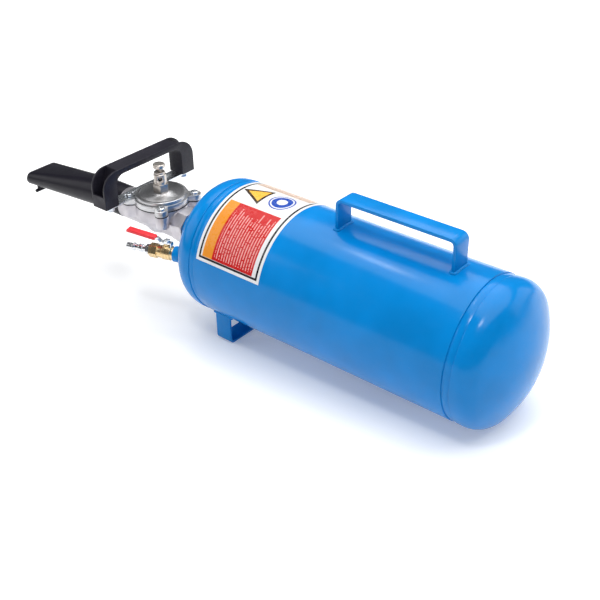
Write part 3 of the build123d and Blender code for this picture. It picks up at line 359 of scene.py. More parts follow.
def turned_material(name, colour, centre, turned=(0.0, 0.0, 0.0), pitch=0.0006, roughness=0.3, strength=0.25):
    """Machined metal with tool rings about an axis through centre."""
    material, tree, coordinates, shader = start_material(name)
    local = centred(tree, coordinates, centre, turned)
    marks = place(tree, lathe_marks(), Vector=local, Pitch=pitch)
    rubbed = place(tree, wear(), Vector=coordinates, Scale=60.0)
    dark = tuple(c * 0.78 for c in colour)
    base = mix_colour(tree, ramp(tree, marks.outputs["Rings"], 0.3, 0.7), dark, colour)
    worn = maths(tree, "MULTIPLY", rubbed.outputs["Mask"], 0.25)
    base = mix_colour(tree, worn, base, tuple(c * 0.55 for c in colour))
    rough = ramp(tree, marks.outputs["Rings"], 0.25, 0.75, roughness + 0.08, roughness - 0.05)
    fill(tree, shader, Base_Color=base, Metallic=1.0, Roughness=rough,
         Normal=bump(tree, marks.outputs["Height"], strength, 0.0001))
    return material


def plated_material(name, colour, roughness, tint=(0.62, 0.70, 0.80), tint_share=0.35, scale=120.0):
    """Plated steel: cloudy passivation, small scratches."""
    material, tree, coordinates, shader = start_material(name)
    cloud = noise(tree, coordinates, scale, 4.0, 0.6)
    rubbed = place(tree, wear(), Vector=coordinates, Scale=scale)
    base = mix_colour(tree, ramp(tree, cloud, 0.35, 0.7, 0.0, tint_share), colour, tint)
    worn = maths(tree, "MULTIPLY", rubbed.outputs["Mask"], 0.3)
    base = mix_colour(tree, worn, base, tuple(c * 0.6 for c in colour))
    rough = ramp(tree, cloud, 0.3, 0.7, roughness + 0.08, roughness - 0.04)
    rough = maths(tree, "MULTIPLY_ADD", rubbed.outputs["Scratches"], 0.12, rough)
    height = noise(tree, coordinates, 1600.0, 2.0)
    fill(tree, shader, Base_Color=base, Metallic=1.0, Roughness=rough,
         Normal=bump(tree, height, 0.12, 0.0001))
    return material


def moulded_material(name, colour, roughness, grain=1500.0, strength=0.3, shine=0.5):
    """Moulded plastic or rubber: fine grain, slight colour drift and handling shine."""
    material, tree, coordinates, shader = start_material(name)
    height = noise(tree, coordinates, grain, 3.0, 0.6)
    rubbed = place(tree, wear(), Vector=coordinates, Scale=30.0)
    lifted = tuple(min(1.0, c * 1.35 + 0.012) for c in colour)
    base = mix_colour(tree, maths(tree, "MULTIPLY", rubbed.outputs["Mask"], 0.6), colour, lifted)
    rough = ramp(tree, rubbed.outputs["Mask"], 0.0, 1.0, roughness, roughness - 0.10)
    rough = maths(tree, "MULTIPLY_ADD", rubbed.outputs["Scratches"], -0.06, rough)
    fill(tree, shader, Base_Color=base, Roughness=rough, Specular_IOR_Level=shine,
         Normal=bump(tree, height, strength, 0.00015))
    return material


def label_material(name, colours):
    """Printed film: border, orange band, red block with ruled lines, triangle and ring."""
    material, tree, coordinates, shader = start_material(name)
    parts = node(tree, "ShaderNodeSeparateXYZ", {0: coordinates}).outputs
    along = maths(tree, "MULTIPLY", parts[0], 1000.0)
    up = maths(tree, "SUBTRACT", parts[2], AXIS_HEIGHT)
    angle = maths(tree, "ARCTAN2", parts[1], up)
    around = maths(tree, "MULTIPLY", angle, 1000.0 * TANK_RADIUS)
    mask = panel_mask()
    degree = 1000.0 * TANK_RADIUS * math.radians(1.0)

    def panel(x_low, x_high, from_degree, to_degree, grow=0.0):
        """Mask of a rectangle, from its ends in millimetres and degrees."""
        return place(tree, mask, U=along, V=around, U_Middle=(x_low + x_high) / 2,
                     V_Middle=(from_degree + to_degree) / 2 * degree, U_Half=(x_high - x_low) / 2 + grow,
                     V_Half=(to_degree - from_degree) / 2 * degree + grow).outputs[0]

    low, high = LABEL_LOW.x * 1000, LABEL_HIGH.x * 1000
    whole = (low, high, LABEL_FAR, LABEL_NEAR)
    ring_out, ring_in = panel(*whole, grow=-4.6), panel(*whole, grow=-8.0)
    border = maths(tree, "SUBTRACT", ring_out, ring_in, clamp=True)
    fade = noise(tree, coordinates, 26.0, 3.0)
    paper = mix_colour(tree, ramp(tree, fade, 0.3, 0.7), (0.70, 0.70, 0.71), (0.79, 0.79, 0.79))
    colour = mix_colour(tree, border, paper, (0.012, 0.012, 0.016))
    colour = mix_colour(tree, panel(-13.0, 6.5, 17.2, 69.6), colour, tuple(colours.orange))
    colour = mix_colour(tree, panel(-94.0, -13.0, 17.2, 69.6), colour, tuple(colours.red))

    # ruled lines of uneven length, in place of printed matter
    pitch, first = 4.9, -88.0
    phase = maths(tree, "DIVIDE", maths(tree, "SUBTRACT", along, first), pitch)
    row = maths(tree, "FLOOR", phase)
    off_middle = maths(tree, "SUBTRACT", maths(tree, "FRACT", phase), 0.5)
    stripe = maths(tree, "LESS_THAN", maths(tree, "ABSOLUTE", off_middle), 0.20)
    row_noise = node(tree, "ShaderNodeTexWhiteNoise", {"W": row}, noise_dimensions="1D").outputs["Value"]
    start = maths(tree, "MULTIPLY_ADD", row_noise, 20.0, 20.5 * degree)
    begun = maths(tree, "GREATER_THAN", around, start)
    apart, run = maths(tree, "MULTIPLY", row, 7.3), maths(tree, "MULTIPLY", around, 0.34)
    spread = node(tree, "ShaderNodeCombineXYZ", {0: apart, 1: run}).outputs[0]
    dashes = maths(tree, "GREATER_THAN", noise(tree, spread, 1.0, 1.0), 0.40)
    inside = panel(-91.0, -17.0, 18.5, 67.4)
    lines = maths(tree, "MULTIPLY", stripe, begun)
    lines = maths(tree, "MULTIPLY", lines, maths(tree, "MULTIPLY", inside, dashes))
    colour = mix_colour(tree, maths(tree, "MULTIPLY", lines, 0.55), colour, (0.95, 0.62, 0.60))

    # amber triangle with a dark edge, and a blue ring
    def triangle(grow):
        """Mask of the triangle whose tip points along +X."""
        tip, base, half = 5.0 + 2.4 * grow, -36.0 - grow, 21.0 + 1.6 * grow
        share = maths(tree, "DIVIDE", maths(tree, "SUBTRACT", tip, along), tip - base)
        width = maths(tree, "MULTIPLY", share, half)
        off_line = maths(tree, "ABSOLUTE", maths(tree, "SUBTRACT", around, 0.8))
        between = maths(tree, "LESS_THAN", off_line, width)
        return maths(tree, "MULTIPLY", between, maths(tree, "GREATER_THAN", along, base))

    colour = mix_colour(tree, triangle(1.6), colour, (0.05, 0.03, 0.015))
    colour = mix_colour(tree, triangle(-2.6), colour, (0.86, 0.45, 0.06))
    centre = node(tree, "ShaderNodeCombineXYZ", {0: maths(tree, "ADD", along, 68.0), 1: around}).outputs[0]
    reach = vector_maths(tree, "LENGTH", centre)["Value"]
    ring = 0.0
    for outer, inner in ((21.3, 18.9), (16.6, 8.5)):
        disc, hole = maths(tree, "LESS_THAN", reach, outer), maths(tree, "LESS_THAN", reach, inner)
        ring = maths(tree, "ADD", ring, maths(tree, "SUBTRACT", disc, hole), clamp=True)
    colour = mix_colour(tree, ring, colour, (0.02, 0.07, 0.38))
    tan = panel(-98.0, 8.0, -54.0, -15.0)
    colour = mix_colour(tree, maths(tree, "MULTIPLY", tan, 0.85), colour, (0.50, 0.32, 0.21))
    scuffs = place(tree, wear(), Vector=coordinates, Scale=22.0)
    scuffed = maths(tree, "MULTIPLY", scuffs.outputs["Mask"], 0.08)
    colour = mix_colour(tree, scuffed, colour, (0.45, 0.44, 0.42))
    rough = ramp(tree, scuffs.outputs["Mask"], 0.0, 1.0, 0.26, 0.36)
    waves = noise(tree, coordinates, 30.0, 2.0)
    fill(tree, shader, Base_Color=colour, Roughness=rough, Specular_IOR_Level=0.25,
         Normal=bump(tree, waves, 0.12, 0.001))
    return material


def make_materials():
    """Every finish, by the record's slot name."""
    colours = bpy.context.scene.receiver_colours
    cover = (VALVE_CENTRE.x, VALVE_CENTRE.y, 0)
    quarter = math.radians(90.0)
    inlet_turn = (quarter, math.atan2(INLET_LINE.y, INLET_LINE.x) - quarter, 0.0)
    return {
        "blue_paint": enamel_material("Blue Enamel", tuple(colours.enamel)),
        "label_film": label_material("Label Film", colours),
        "cast_aluminium": cast_material("Cast Aluminium"),
        "turned_aluminium": turned_material("Turned Aluminium", (0.60, 0.60, 0.61), cover,
                                            pitch=0.0007, roughness=0.34),
        "black_rubber": moulded_material("Black Rubber", (0.004, 0.004, 0.005), 0.8),
        "zinc_steel": plated_material("Zinc Plated Steel", (0.74, 0.76, 0.78), 0.26),
        "spring_steel": plated_material("Spring Steel", (0.42, 0.42, 0.43), 0.30, tint_share=0.1),
        "nickel": turned_material("Nickel Plate", (0.66, 0.61, 0.56), cover,
                                  roughness=0.33, strength=0.06),
        "black_plastic": moulded_material("Grip Plastic", tuple(colours.plastic), 0.46, shine=0.30),
        "black_paint": enamel_material("Black Enamel", (0.008, 0.007, 0.013), 0.33, 0.20, 0.08),
        "brass": turned_material("Brass", tuple(colours.brass), PLUG_CENTRE, inlet_turn, 0.0014, 0.26, 0.10),
        "chrome": turned_material("Chrome Plate", (0.86, 0.87, 0.89), PLUG_CENTRE, inlet_turn,
                                  0.0009, 0.16, 0.06),
        "red_vinyl": moulded_material("Red Vinyl", tuple(colours.sleeve), 0.36, 900.0, 0.15),
        "white_ptfe": moulded_material("White Fluoropolymer", (0.78, 0.78, 0.76), 0.42, 900.0, 0.1),
    }


SLOT_OF = {entry["node"]: entry["material_slot"] for entry in frame["record"]["subparts"]}


# --------------------------------------------------------------------- shape helpers
def piece(name, bm, slot, body, *stands_for, sharp=35.0):
    """Turn a finished bmesh into a piece that rides on a body and hides what it stands for."""
    mesh = bpy.data.meshes.new(name)
    bm.to_mesh(mesh)
    bm.free()
    return finish_piece(name, mesh, slot, body, *stands_for, sharp=sharp)


def finish_piece(name, mesh, slot, body, *stands_for, sharp=35.0):
    """Shade a mesh, place it in the scene, hang it on its body and hide the parts it stands for."""
    mesh.polygons.foreach_set("use_smooth", [True] * len(mesh.polygons))
    mesh.set_sharp_from_angle(angle=math.radians(sharp))
    made = bpy.data.objects.new(name, mesh)
    bpy.context.scene.collection.objects.link(made)
    mesh.materials.clear()
    mesh.materials.append(FINISHES[slot])
    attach(made, body)
    if stands_for:
        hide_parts(*stands_for)
    return made


def arc(centre, radius, start, end, steps):
    """Points of an arc in the plane of X and height, from one angle to another in degrees."""
    points = []
    for i in range(steps + 1):
        a = math.radians(start + (end - start) * i / steps)
        points.append((centre[0] + radius * math.cos(a), centre[1] + radius * math.sin(a)))
    return points


def spun(outline, sectors):
    """Closed ring about the tank axis, from a section given as (along X, distance from the axis)."""
    bm = bmesh.new()
    verts = [bm.verts.new((x, 0, AXIS_HEIGHT + r)) for x, r in outline]
    edges = [bm.edges.new(pair) for pair in zip(verts, verts[1:] + verts[:1])]
    bmesh.ops.spin(bm, geom=verts + edges, cent=(0, 0, AXIS_HEIGHT), axis=(1, 0, 0),
                   angle=TURN, steps=sectors, use_merge=True)
    bmesh.ops.remove_doubles(bm, verts=bm.verts, dist=1e-6)
    bmesh.ops.recalc_face_normals(bm, faces=bm.faces)
    return bm


def bent_strap(points, width_axis, width, thickness, bend, edge):
    """Flat bar bent through points: a ribbon whose corners are bevelled, then thickened inwards."""
    bm = bmesh.new()
    verts = [bm.verts.new(p - width_axis * width / 2) for p in points]
    edges = [bm.edges.new(pair) for pair in zip(verts, verts[1:])]
    grown = bmesh.ops.extrude_edge_only(bm, edges=edges)["geom"]
    moved = [v for v in grown if isinstance(v, bmesh.types.BMVert)]
    bmesh.ops.translate(bm, verts=moved, vec=width_axis * width)
    bm.edges.ensure_lookup_table()
    folds = [e for e in bm.edges if len(e.link_faces) == 2]
    bmesh.ops.bevel(bm, geom=folds, offset=bend, offset_type="OFFSET", affect="EDGES", segments=12,
                    profile=0.5, material=-1, clamp_overlap=True)
    bmesh.ops.recalc_face_normals(bm, faces=bm.faces)
    middle = sum((f.calc_center_median() for f in bm.faces), Vector()) / len(bm.faces)
    inside = sum(((f.calc_center_median() - middle).dot(f.normal)) for f in bm.faces)
    bmesh.ops.solidify(bm, geom=bm.faces[:], thickness=thickness if inside > 0 else -thickness)
    bmesh.ops.recalc_face_normals(bm, faces=bm.faces)
    rims = [e for e in bm.edges if len(e.link_faces) == 2 and e.calc_face_angle(0) > math.radians(50)]
    bmesh.ops.bevel(bm, geom=rims, offset=edge, offset_type="OFFSET", affect="EDGES", segments=3,
                    profile=0.5, material=-1, clamp_overlap=True)
    bmesh.ops.recalc_face_normals(bm, faces=bm.faces)
    return bm


def bead(name, points, radius, ripple, slot, body, *stands_for):
    """Weld bead laid along a closed line: a rippled round, made from a curve."""
    curve = bpy.data.curves.new(name, "CURVE")
    curve.dimensions = "3D"
    curve.bevel_depth = radius
    curve.bevel_resolution = 3
    spline = curve.splines.new("POLY")
    spline.points.add(len(points) - 1)
    travelled = 0.0
    for i, (point, control) in enumerate(zip(points, spline.points)):
        if i:
            travelled += (point - points[i - 1]).length
        wave = abs(math.sin(math.pi * travelled / ripple))
        control.co = (*point, 1)
        control.radius = 0.86 + 0.14 * wave + 0.05 * math.sin(travelled * 210.0)
    spline.use_cyclic_u = True
    carrier = bpy.data.objects.new(name + "_line", curve)
    bpy.context.scene.collection.objects.link(carrier)
    bpy.context.view_layer.update()
    mesh = bpy.data.meshes.new_from_object(carrier)
    bpy.data.objects.remove(carrier)
    bpy.data.curves.remove(curve)
    mesh.name = name
    return finish_piece(name, mesh, slot, body, *stands_for, sharp=80.0)


def soften(node_name, width, segments=2, limit=32.0):
    """Give a fixed part rounded edges and smooth curves with live modifiers."""
    part = frame["nodes"][node_name]
    mesh = part.data
    mesh.polygons.foreach_set("use_smooth", [True] * len(mesh.polygons))
    weld = part.modifiers.new("Weld", "WELD")
    weld.merge_threshold = 1e-6
    flatten = part.modifiers.new("Flatten", "DECIMATE")
    flatten.decimate_type = "DISSOLVE"
    flatten.angle_limit = math.radians(0.6)
    edge = part.modifiers.new("Edges", "BEVEL")
    edge.width = width
    edge.segments = segments
    edge.limit_method = "ANGLE"
    edge.angle_limit = math.radians(limit)
    edge.use_clamp_overlap = True
    edge.harden_normals = True


# --------------------------------------------------------------------------- operators
FINISHES = {}


class RECEIVER_OT_finishes(bpy.types.Operator):
    """Make every finish and give it to the fixed parts of its slot"""
    bl_idname = "receiver.finishes"
    bl_label = "Finishes"

    def execute(self, context):
        FINISHES.update(make_materials())
        for name, part in frame["nodes"].items():
            part.data.materials.clear()
            part.data.materials.append(FINISHES[SLOT_OF[name]])
        return {"FINISHED"}


class RECEIVER_OT_tank(bpy.types.Operator):
    """Build the rolled shell, the two dished heads and the seams between them"""
    bl_idname = "receiver.tank"
    bl_label = "Tank"

    def execute(self, context):
        sizes = context.scene.receiver_tank
        radius, wall, edge = TANK_RADIUS, sizes.wall, sizes.edge_round
        low, high = SHELL_LOW.x, SHELL_HIGH.x
        outline = [(low, radius - wall)]
        outline += arc((low + edge, radius - edge), edge, 180, 90, 5)
        outline += [(low + (high - low) * i / 12, radius) for i in range(1, 12)]
        outline += arc((high - edge, radius - edge), edge, 90, 0, 5)
        outline += [(high, radius - wall)]
        piece("Tank_Wall", spun(outline, sizes.sectors), "blue_paint", "tank", "shell")
        for node_name, crown, side in (("front_head", FRONT_CROWN, 1), ("rear_head", REAR_CROWN, -1)):
            self.head(sizes, node_name, crown, side)
        for node_name in ("front_seam", "rear_seam"):
            self.seam(sizes, node_name)
        return {"FINISHED"}

    def head(self, sizes, node_name, crown, side):
        """One dished head, with the joggled flange that slips inside the shell."""
        radius, wall, knuckle = TANK_RADIUS, sizes.wall, sizes.knuckle
        reach = math.sqrt((sizes.crown - knuckle) ** 2 - (radius - knuckle) ** 2)
        depth = sizes.flange - reach + sizes.crown
        shoulder = crown - side * depth
        join = math.degrees(math.atan2(radius - knuckle, reach))
        bend = (sizes.flange, radius - knuckle)
        dish = (sizes.flange - reach, 0.0)
        edge = sizes.edge_round
        outer = [(0, radius - wall)] + arc((edge, radius - edge), edge, 180, 90, 5)
        outer += arc(bend, knuckle, 90, join, 20) + arc(dish, sizes.crown, join, 0, 36)[1:]
        inner = arc(dish, sizes.crown - wall, 0, join, 24) + arc(bend, knuckle - wall, join, 90, 10)[1:]
        outline = [(shoulder + side * x, r) for x, r in outer + inner]
        name = "Front_Head" if side > 0 else "Rear_Head"
        piece(name, spun(outline, sizes.sectors), "blue_paint", "tank", node_name)

    def seam(self, sizes, node_name):
        """Weld band, sunk a little below the shell, with a slightly crowned face."""
        low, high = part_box(node_name)
        radius, sink = TANK_RADIUS, sizes.seam_sink
        steps = 12
        outline = [(low.x, radius - sizes.wall), (high.x, radius - sizes.wall)]
        for i in range(steps + 1):
            share = 1 - i / steps
            crowned = math.sin(math.pi * share) * sink / 2
            outline.append((low.x + (high.x - low.x) * share, radius - sink - sink / 4 + crowned))
        piece(node_name.title(), spun(outline, sizes.sectors), "blue_paint", "tank", node_name)


class RECEIVER_OT_label(bpy.types.Operator):
    """Wrap the printed label round the shell"""
    bl_idname = "receiver.label"
    bl_label = "Label"

    def execute(self, context):
        low, high = LABEL_LOW, LABEL_HIGH
        film = high.z - AXIS_HEIGHT - TANK_RADIUS
        bm = bmesh.new()
        bmesh.ops.create_grid(bm, x_segments=40, y_segments=120, size=0.5)
        near, far = math.radians(LABEL_NEAR), math.radians(LABEL_FAR)
        for v in bm.verts:
            along, angle = v.co.x + 0.5, near + (far - near) * (v.co.y + 0.5)
            v.co = (low.x + (high.x - low.x) * along, (TANK_RADIUS + film) * math.sin(angle),
                    AXIS_HEIGHT + (TANK_RADIUS + film) * math.cos(angle))
        bmesh.ops.recalc_face_normals(bm, faces=bm.faces)
        top = max(bm.faces, key=lambda f: f.calc_center_median().z)
        bmesh.ops.solidify(bm, geom=bm.faces[:], thickness=film * 0.8 if top.normal.z > 0 else -film * 0.8)
        bmesh.ops.recalc_face_normals(bm, faces=bm.faces)
        piece("Label", bm, "label_film", "tank", "label")
        return {"FINISHED"}


def footprint(half_x, half_y):
    """Closed line of a weld's middle round the end of a bar, in short steps."""
    half_x, half_y = half_x + WELD_OUT, half_y + WELD_OUT
    points = []
    for turn, (sx, sy) in enumerate(((1, 1), (-1, 1), (-1, -1), (1, -1))):
        centre = (sx * (half_x - WELD_CORNER), sy * (half_y - WELD_CORNER))
        points += arc(centre, WELD_CORNER, 90 * turn, 90 * turn + 90, 5)
    even = []
    for a, b in zip(points, points[1:] + points[:1]):
        length = math.dist(a, b)
        count = max(1, round(length / WELD_STEP))
        even += [(a[0] + (b[0] - a[0]) * i / count, a[1] + (b[1] - a[1]) * i / count) for i in range(count)]
    return even


def on_tank(x, y, up):
    """Point just off the tank's surface, above or below y."""
    height = math.sqrt((TANK_RADIUS + WELD_LIFT) ** 2 - y * y)
    return Vector((x, y, AXIS_HEIGHT + up * height))


class RECEIVER_OT_handle(bpy.types.Operator):
    """Bend the carry handle and lay its weld beads"""
    bl_idname = "receiver.handle"
    bl_label = "Carry handle"

    def execute(self, context):
        sizes = context.scene.receiver_straps
        low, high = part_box("carry_handle")
        half = (high.y - low.y) / 2
        base = AXIS_HEIGHT + math.sqrt(TANK_RADIUS ** 2 - half ** 2) - SUNK
        corners = [Vector((low.x, 0, base)), Vector((low.x, 0, high.z)),
                   Vector((high.x, 0, high.z)), Vector((high.x, 0, base))]
        bm = bent_strap(corners, Vector((0, 1, 0)), 2 * half, sizes.handle_thickness,
                        sizes.handle_bend, 1.1 * MM)
        piece("Carry_Handle", bm, "blue_paint", "tank", "carry_handle")
        for name, x in (("Handle_Weld_Rear", low.x + sizes.handle_thickness / 2),
                        ("Handle_Weld_Front", high.x - sizes.handle_thickness / 2)):
            line = footprint(sizes.handle_thickness / 2, half)
            points = [on_tank(x + u, v, 1) for u, v in line]
            bead(name, points, sizes.bead, sizes.ripple, "blue_paint", "tank", "handle_welds")
        return {"FINISHED"}


class RECEIVER_OT_foot(bpy.types.Operator):
    """Bend the foot strap and lay its weld beads"""
    bl_idname = "receiver.foot"
    bl_label = "Foot"

    def execute(self, context):
        sizes = context.scene.receiver_straps
        low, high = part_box("front_foot")
        leg_y = high.y - sizes.foot_thickness
        base = AXIS_HEIGHT - math.sqrt(TANK_RADIUS ** 2 - leg_y ** 2) + SUNK
        corners = [Vector((0, low.y, base)), Vector((0, low.y, low.z)),
                   Vector((0, high.y, low.z)), Vector((0, high.y, base))]
        bm = bent_strap(corners, Vector((1, 0, 0)), high.x - low.x, sizes.foot_thickness,
                        sizes.foot_bend, 0.8 * MM)
        piece("Foot_Strap", bm, "blue_paint", "tank", "front_foot")
        middle = high.y - sizes.foot_thickness / 2
        for name, y in (("Foot_Weld_Near", middle), ("Foot_Weld_Far", -middle)):
            line = footprint((high.x - low.x) / 2, sizes.foot_thickness / 2)
            points = [on_tank(u, y + v, -1) for u, v in line]
            bead(name, points, sizes.bead, sizes.ripple, "blue_paint", "tank", "foot_welds")
        return {"FINISHED"}


class RECEIVER_OT_barrel(bpy.types.Operator):
    """Draw the round tube out to its flat mouth"""
    bl_idname = "receiver.barrel"
    bl_label = "Blast barrel"

    def execute(self, context):
        low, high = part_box("barrel")
        radius = AXIS_HEIGHT - low.z
        if not MOUTH_HALF < radius < high.y:
            raise RuntimeError("the barrel isn't a tube about the tank axis with a wider mouth")
        root = (radius, radius, radius - BARREL_CORNER, AXIS_HEIGHT)
        mouth = ((high.y - low.y) / 2, MOUTH_HALF, MOUTH_HALF - BARREL_CORNER, low.z + MOUTH_HALF)
        bm = bmesh.new()
        made = bmesh.ops.create_circle(bm, cap_ends=False, segments=96, radius=1.0)["verts"]
        turns = {v: math.atan2(v.co.y, v.co.x) for v in made}
        self.shape(turns, low.x, root)
        ring, stations = made, 24
        edges = bm.edges[:]
        for i in range(1, stations + 1):
            share = i / stations
            section = tuple(a + (b - a) * share for a, b in zip(root, mouth))
            grown = bmesh.ops.extrude_edge_only(bm, edges=edges)["geom"]
            fresh = [g for g in grown if isinstance(g, bmesh.types.BMVert)]
            edges = [g for g in grown if isinstance(g, bmesh.types.BMEdge)
                     and all(v in fresh for v in g.verts)]
            turned = {v: self.turn_of(v, turns, ring) for v in fresh}
            self.shape(turned, low.x + (high.x - low.x) * share, section)
            turns, ring = turned, fresh
        bmesh.ops.recalc_face_normals(bm, faces=bm.faces)
        centre = bm.faces[0].calc_center_median()
        outward = bm.faces[0].normal.dot(centre - Vector((centre.x, 0, AXIS_HEIGHT)))
        bmesh.ops.solidify(bm, geom=bm.faces[:], thickness=math.copysign(BARREL_WALL, outward))
        bmesh.ops.recalc_face_normals(bm, faces=bm.faces)
        rims = [e for e in bm.edges if len(e.link_faces) == 2 and e.calc_face_angle(0) > math.radians(50)]
        bmesh.ops.bevel(bm, geom=rims, offset=0.5 * MM, offset_type="OFFSET", affect="EDGES", segments=2,
                        profile=0.5, material=-1, clamp_overlap=True)
        piece("Blast_Barrel", bm, "black_paint", "tank", "barrel")
        return {"FINISHED"}

    def shape(self, turns, x, section):
        """Move a ring's corners to the rounded rectangle of one section."""
        half_width, half_height, corner, middle = section
        for v, turn in turns.items():
            side = [0 if abs(t) < 1e-6 else math.copysign(1, t) for t in (math.cos(turn), math.sin(turn))]
            v.co = (x, side[0] * (half_width - corner) + corner * math.cos(turn),
                    middle + side[1] * (half_height - corner) + corner * math.sin(turn))

    def turn_of(self, v, turns, ring):
        """Angle of the old corner that a new corner was pulled from."""
        for e in v.link_edges:
            other = e.other_vert(v)
            if other in turns:
                return turns[other]
        raise RuntimeError("a corner of the barrel has no neighbour in the last ring")


class RECEIVER_OT_fittings(bpy.types.Operator):
    """Round the edges of the cast, turned and moulded fittings"""
    bl_idname = "receiver.fittings"
    bl_label = "Fittings"

    def execute(self, context):
        widths = {
            "valve_body": 0.8, "valve_cover": 0.5, "cover_screws": 0.25,
            "grip": 0.9, "grip_bracket": 0.5, "grip_screws": 0.25, "grip_nuts": 0.3,
            "outlet_socket": 0.5, "barrel_socket": 0.5, "rim_hook": 0.3, "inlet_bung": 0.5,
            "pilot_body": 0.35, "pilot_gland": 0.2, "pilot_button": 0.25, "cock_body": 0.25,
            "cock_end": 0.4, "coupler_plug": 0.2, "gland_nut": 0.2, "lever": 0.25, "lever_nut": 0.2,
            "lever_sleeve": 1.3, "stem": 0.15, "outlet_nipple": 0.2,
        }
        for node_name, width in widths.items():
            soften(node_name, width * MM)
        return {"FINISHED"}


def soft_light(name, location, target, width, depth, power):
    """White rectangular area light aimed at a point."""
    data = bpy.data.lights.new(name, "AREA")
    data.shape = "RECTANGLE"
    data.size, data.size_y, data.energy = width, depth, power
    light = bpy.data.objects.new(name, data)
    light.location = location
    light.rotation_euler = (Vector(target) - Vector(location)).to_track_quat("-Z", "Y").to_euler()
    bpy.context.scene.collection.objects.link(light)


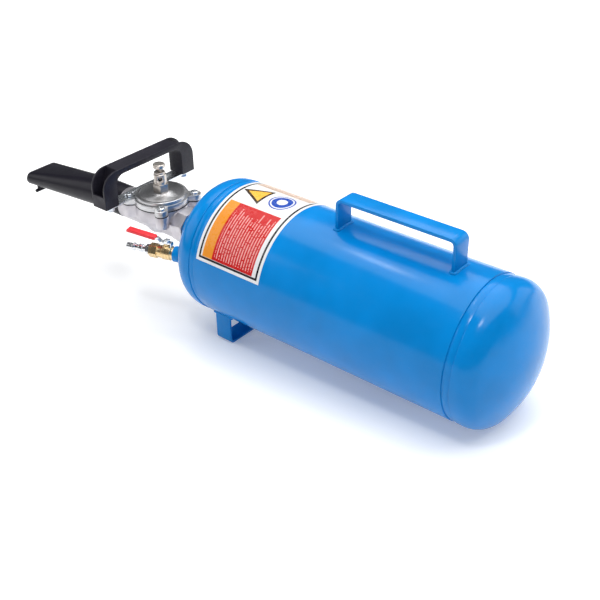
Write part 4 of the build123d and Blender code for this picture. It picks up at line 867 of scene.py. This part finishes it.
class RECEIVER_OT_stage(bpy.types.Operator):
    """Set the floor, the soft lights and the camera"""
    bl_idname = "receiver.stage"
    bl_label = "Stage"

    def execute(self, context):
        self.floor(context.scene.receiver_tank)
        self.lights(context)
        self.camera(context)
        return {"FINISHED"}

    def floor(self, sizes):
        """Pale floor that touches the foot's rear edge and the rear head's knuckle, and glows with painted
        light that is weaker near the object.
        """
        foot_low, foot_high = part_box("front_foot")
        bend_height = AXIS_HEIGHT - TANK_RADIUS + sizes.knuckle - foot_low.z
        bend_back = foot_low.x - SHELL_LOW.x + sizes.flange
        tilt = math.acos(sizes.knuckle / math.hypot(bend_height, bend_back))
        tilt -= math.atan2(bend_back, bend_height)
        bm = bmesh.new()
        bmesh.ops.create_circle(bm, cap_ends=True, segments=96, radius=9.0)
        bmesh.ops.rotate(bm, verts=bm.verts, cent=(0, 0, 0), matrix=Matrix.Rotation(tilt, 3, "Y"))
        bmesh.ops.translate(bm, verts=bm.verts, vec=(foot_low.x, 0, foot_low.z - 0.0001))
        mesh = bpy.data.meshes.new("Floor")
        bm.to_mesh(mesh)
        bm.free()
        floor = bpy.data.objects.new("Floor", mesh)
        bpy.context.scene.collection.objects.link(floor)
        material, tree, coordinates, shader = start_material("Pale Floor")
        tone = ramp(tree, noise(tree, coordinates, 3.0), 0.3, 0.7, 0.90, 0.93)
        away = vector_maths(tree, "LENGTH", coordinates)["Value"]
        # painted light: the floor glows though it is no lamp, weakly near the object and more strongly away
        # from it, and this glow lights the object from below
        painted_floor_glow = ramp(tree, away, 0.3, 1.8, 0.20, 0.80)
        fill(tree, shader, Base_Color=tone, Roughness=0.6, Emission_Color=(1, 1, 1, 1),
             Emission_Strength=painted_floor_glow)
        mesh.materials.append(material)

    def lights(self, context):
        """A broad overhead panel, two side panels, two small glints and a low surrounding light."""
        soft_light("Overhead", (-0.1, -0.5, 2.0), (0.0, -0.2, 0.1), 3.2, 2.4, 65.0)
        soft_light("Nozzle_Side", (1.9, 1.1, 1.1), (0.1, 0, 0.1), 1.6, 1.4, 12.0)
        soft_light("Rear_Side", (-1.6, -1.8, 1.0), (-0.2, 0, 0.1), 1.8, 1.2, 10.0)
        soft_light("Head_Glint", (-0.40, 0.66, 1.6), (-0.46, 0.06, 0.2), 0.22, 0.22, 5.0)
        soft_light("Shell_Glint", (0.50, -0.15, 1.6), (-0.28, 0.04, 0.2), 0.10, 0.05, 1.3)
        world = bpy.data.worlds.new("Studio")
        world.use_nodes = True
        tree = world.node_tree
        tree.nodes.clear()
        seen = node(tree, "ShaderNodeBackground", {"Color": (0.96, 0.96, 0.97, 1)}).outputs[0]
        rays = node(tree, "ShaderNodeLightPath").outputs
        direct = rays["Is Camera Ray"]
        strength = ramp(tree, rays["Is Glossy Ray"], 0.0, 1.0, 0.24, 0.12)
        around = node(tree, "ShaderNodeBackground",
                      {"Color": (0.93, 0.96, 1.0, 1), "Strength": strength}).outputs[0]
        both = node(tree, "ShaderNodeMixShader", {0: direct, 1: around, 2: seen}).outputs[0]
        node(tree, "ShaderNodeOutputWorld", {"Surface": both})
        context.scene.world = world
        context.scene.view_settings.view_transform = "Standard"

    def camera(self, context):
        """Camera above the rear end of the tank, on the label's side."""
        yaw, pitch, roll = (math.radians(a) for a in (-49.98, 32.51, -0.96))
        forward = Vector((math.cos(yaw) * math.cos(pitch), math.sin(yaw) * math.cos(pitch), -math.sin(pitch)))
        right = forward.cross(Vector((0, 0, 1))).normalized()
        up = right.cross(forward)
        turned_right = right * math.cos(roll) + up * math.sin(roll)
        turned_up = up * math.cos(roll) - right * math.sin(roll)
        data = bpy.data.cameras.new("View")
        data.sensor_width = 36.0
        data.lens = 36.0 * 1007.0 / 600.0
        data.clip_start, data.clip_end = 0.05, 60.0
        camera = bpy.data.objects.new("View", data)
        basis = Matrix((turned_right, turned_up, -forward)).transposed().to_4x4()
        camera.matrix_world = Matrix.Translation((-0.961, 1.026, 0.935)) @ basis
        context.scene.collection.objects.link(camera)
        context.scene.camera = camera


STEPS = (RECEIVER_OT_finishes, RECEIVER_OT_tank, RECEIVER_OT_label, RECEIVER_OT_handle, RECEIVER_OT_foot,
         RECEIVER_OT_barrel, RECEIVER_OT_fittings, RECEIVER_OT_stage)


class RECEIVER_PT_panel(bpy.types.Panel):
    """Sidebar panel that lists the sizes, the colours and the steps"""
    bl_idname = "RECEIVER_PT_panel"
    bl_label = "Air Receiver"
    bl_space_type = "VIEW_3D"
    bl_region_type = "UI"
    bl_category = "Receiver"

    def draw(self, context):
        for group_name, kind in SETTINGS.items():
            box = self.layout.box()
            for name in kind.__annotations__:
                box.prop(getattr(context.scene, group_name), name)
        for step in STEPS:
            self.layout.operator(step.bl_idname)


SETTINGS = {"receiver_tank": TankSizes, "receiver_straps": StrapSizes, "receiver_colours": FinishColours}
CLASSES = (TankSizes, StrapSizes, FinishColours, *STEPS, RECEIVER_PT_panel)


def register():
    for cls in CLASSES:
        bpy.utils.register_class(cls)
    for name, cls in SETTINGS.items():
        setattr(bpy.types.Scene, name, PointerProperty(type=cls))


def unregister():
    for name in SETTINGS:
        delattr(bpy.types.Scene, name)
    for cls in reversed(CLASSES):
        bpy.utils.unregister_class(cls)


def main():
    """Build everything in order."""
    register()
    for step in STEPS:
        space, name = step.bl_idname.split(".")
        getattr(getattr(bpy.ops, space), name)()


if __name__ == "__main__":
    main()
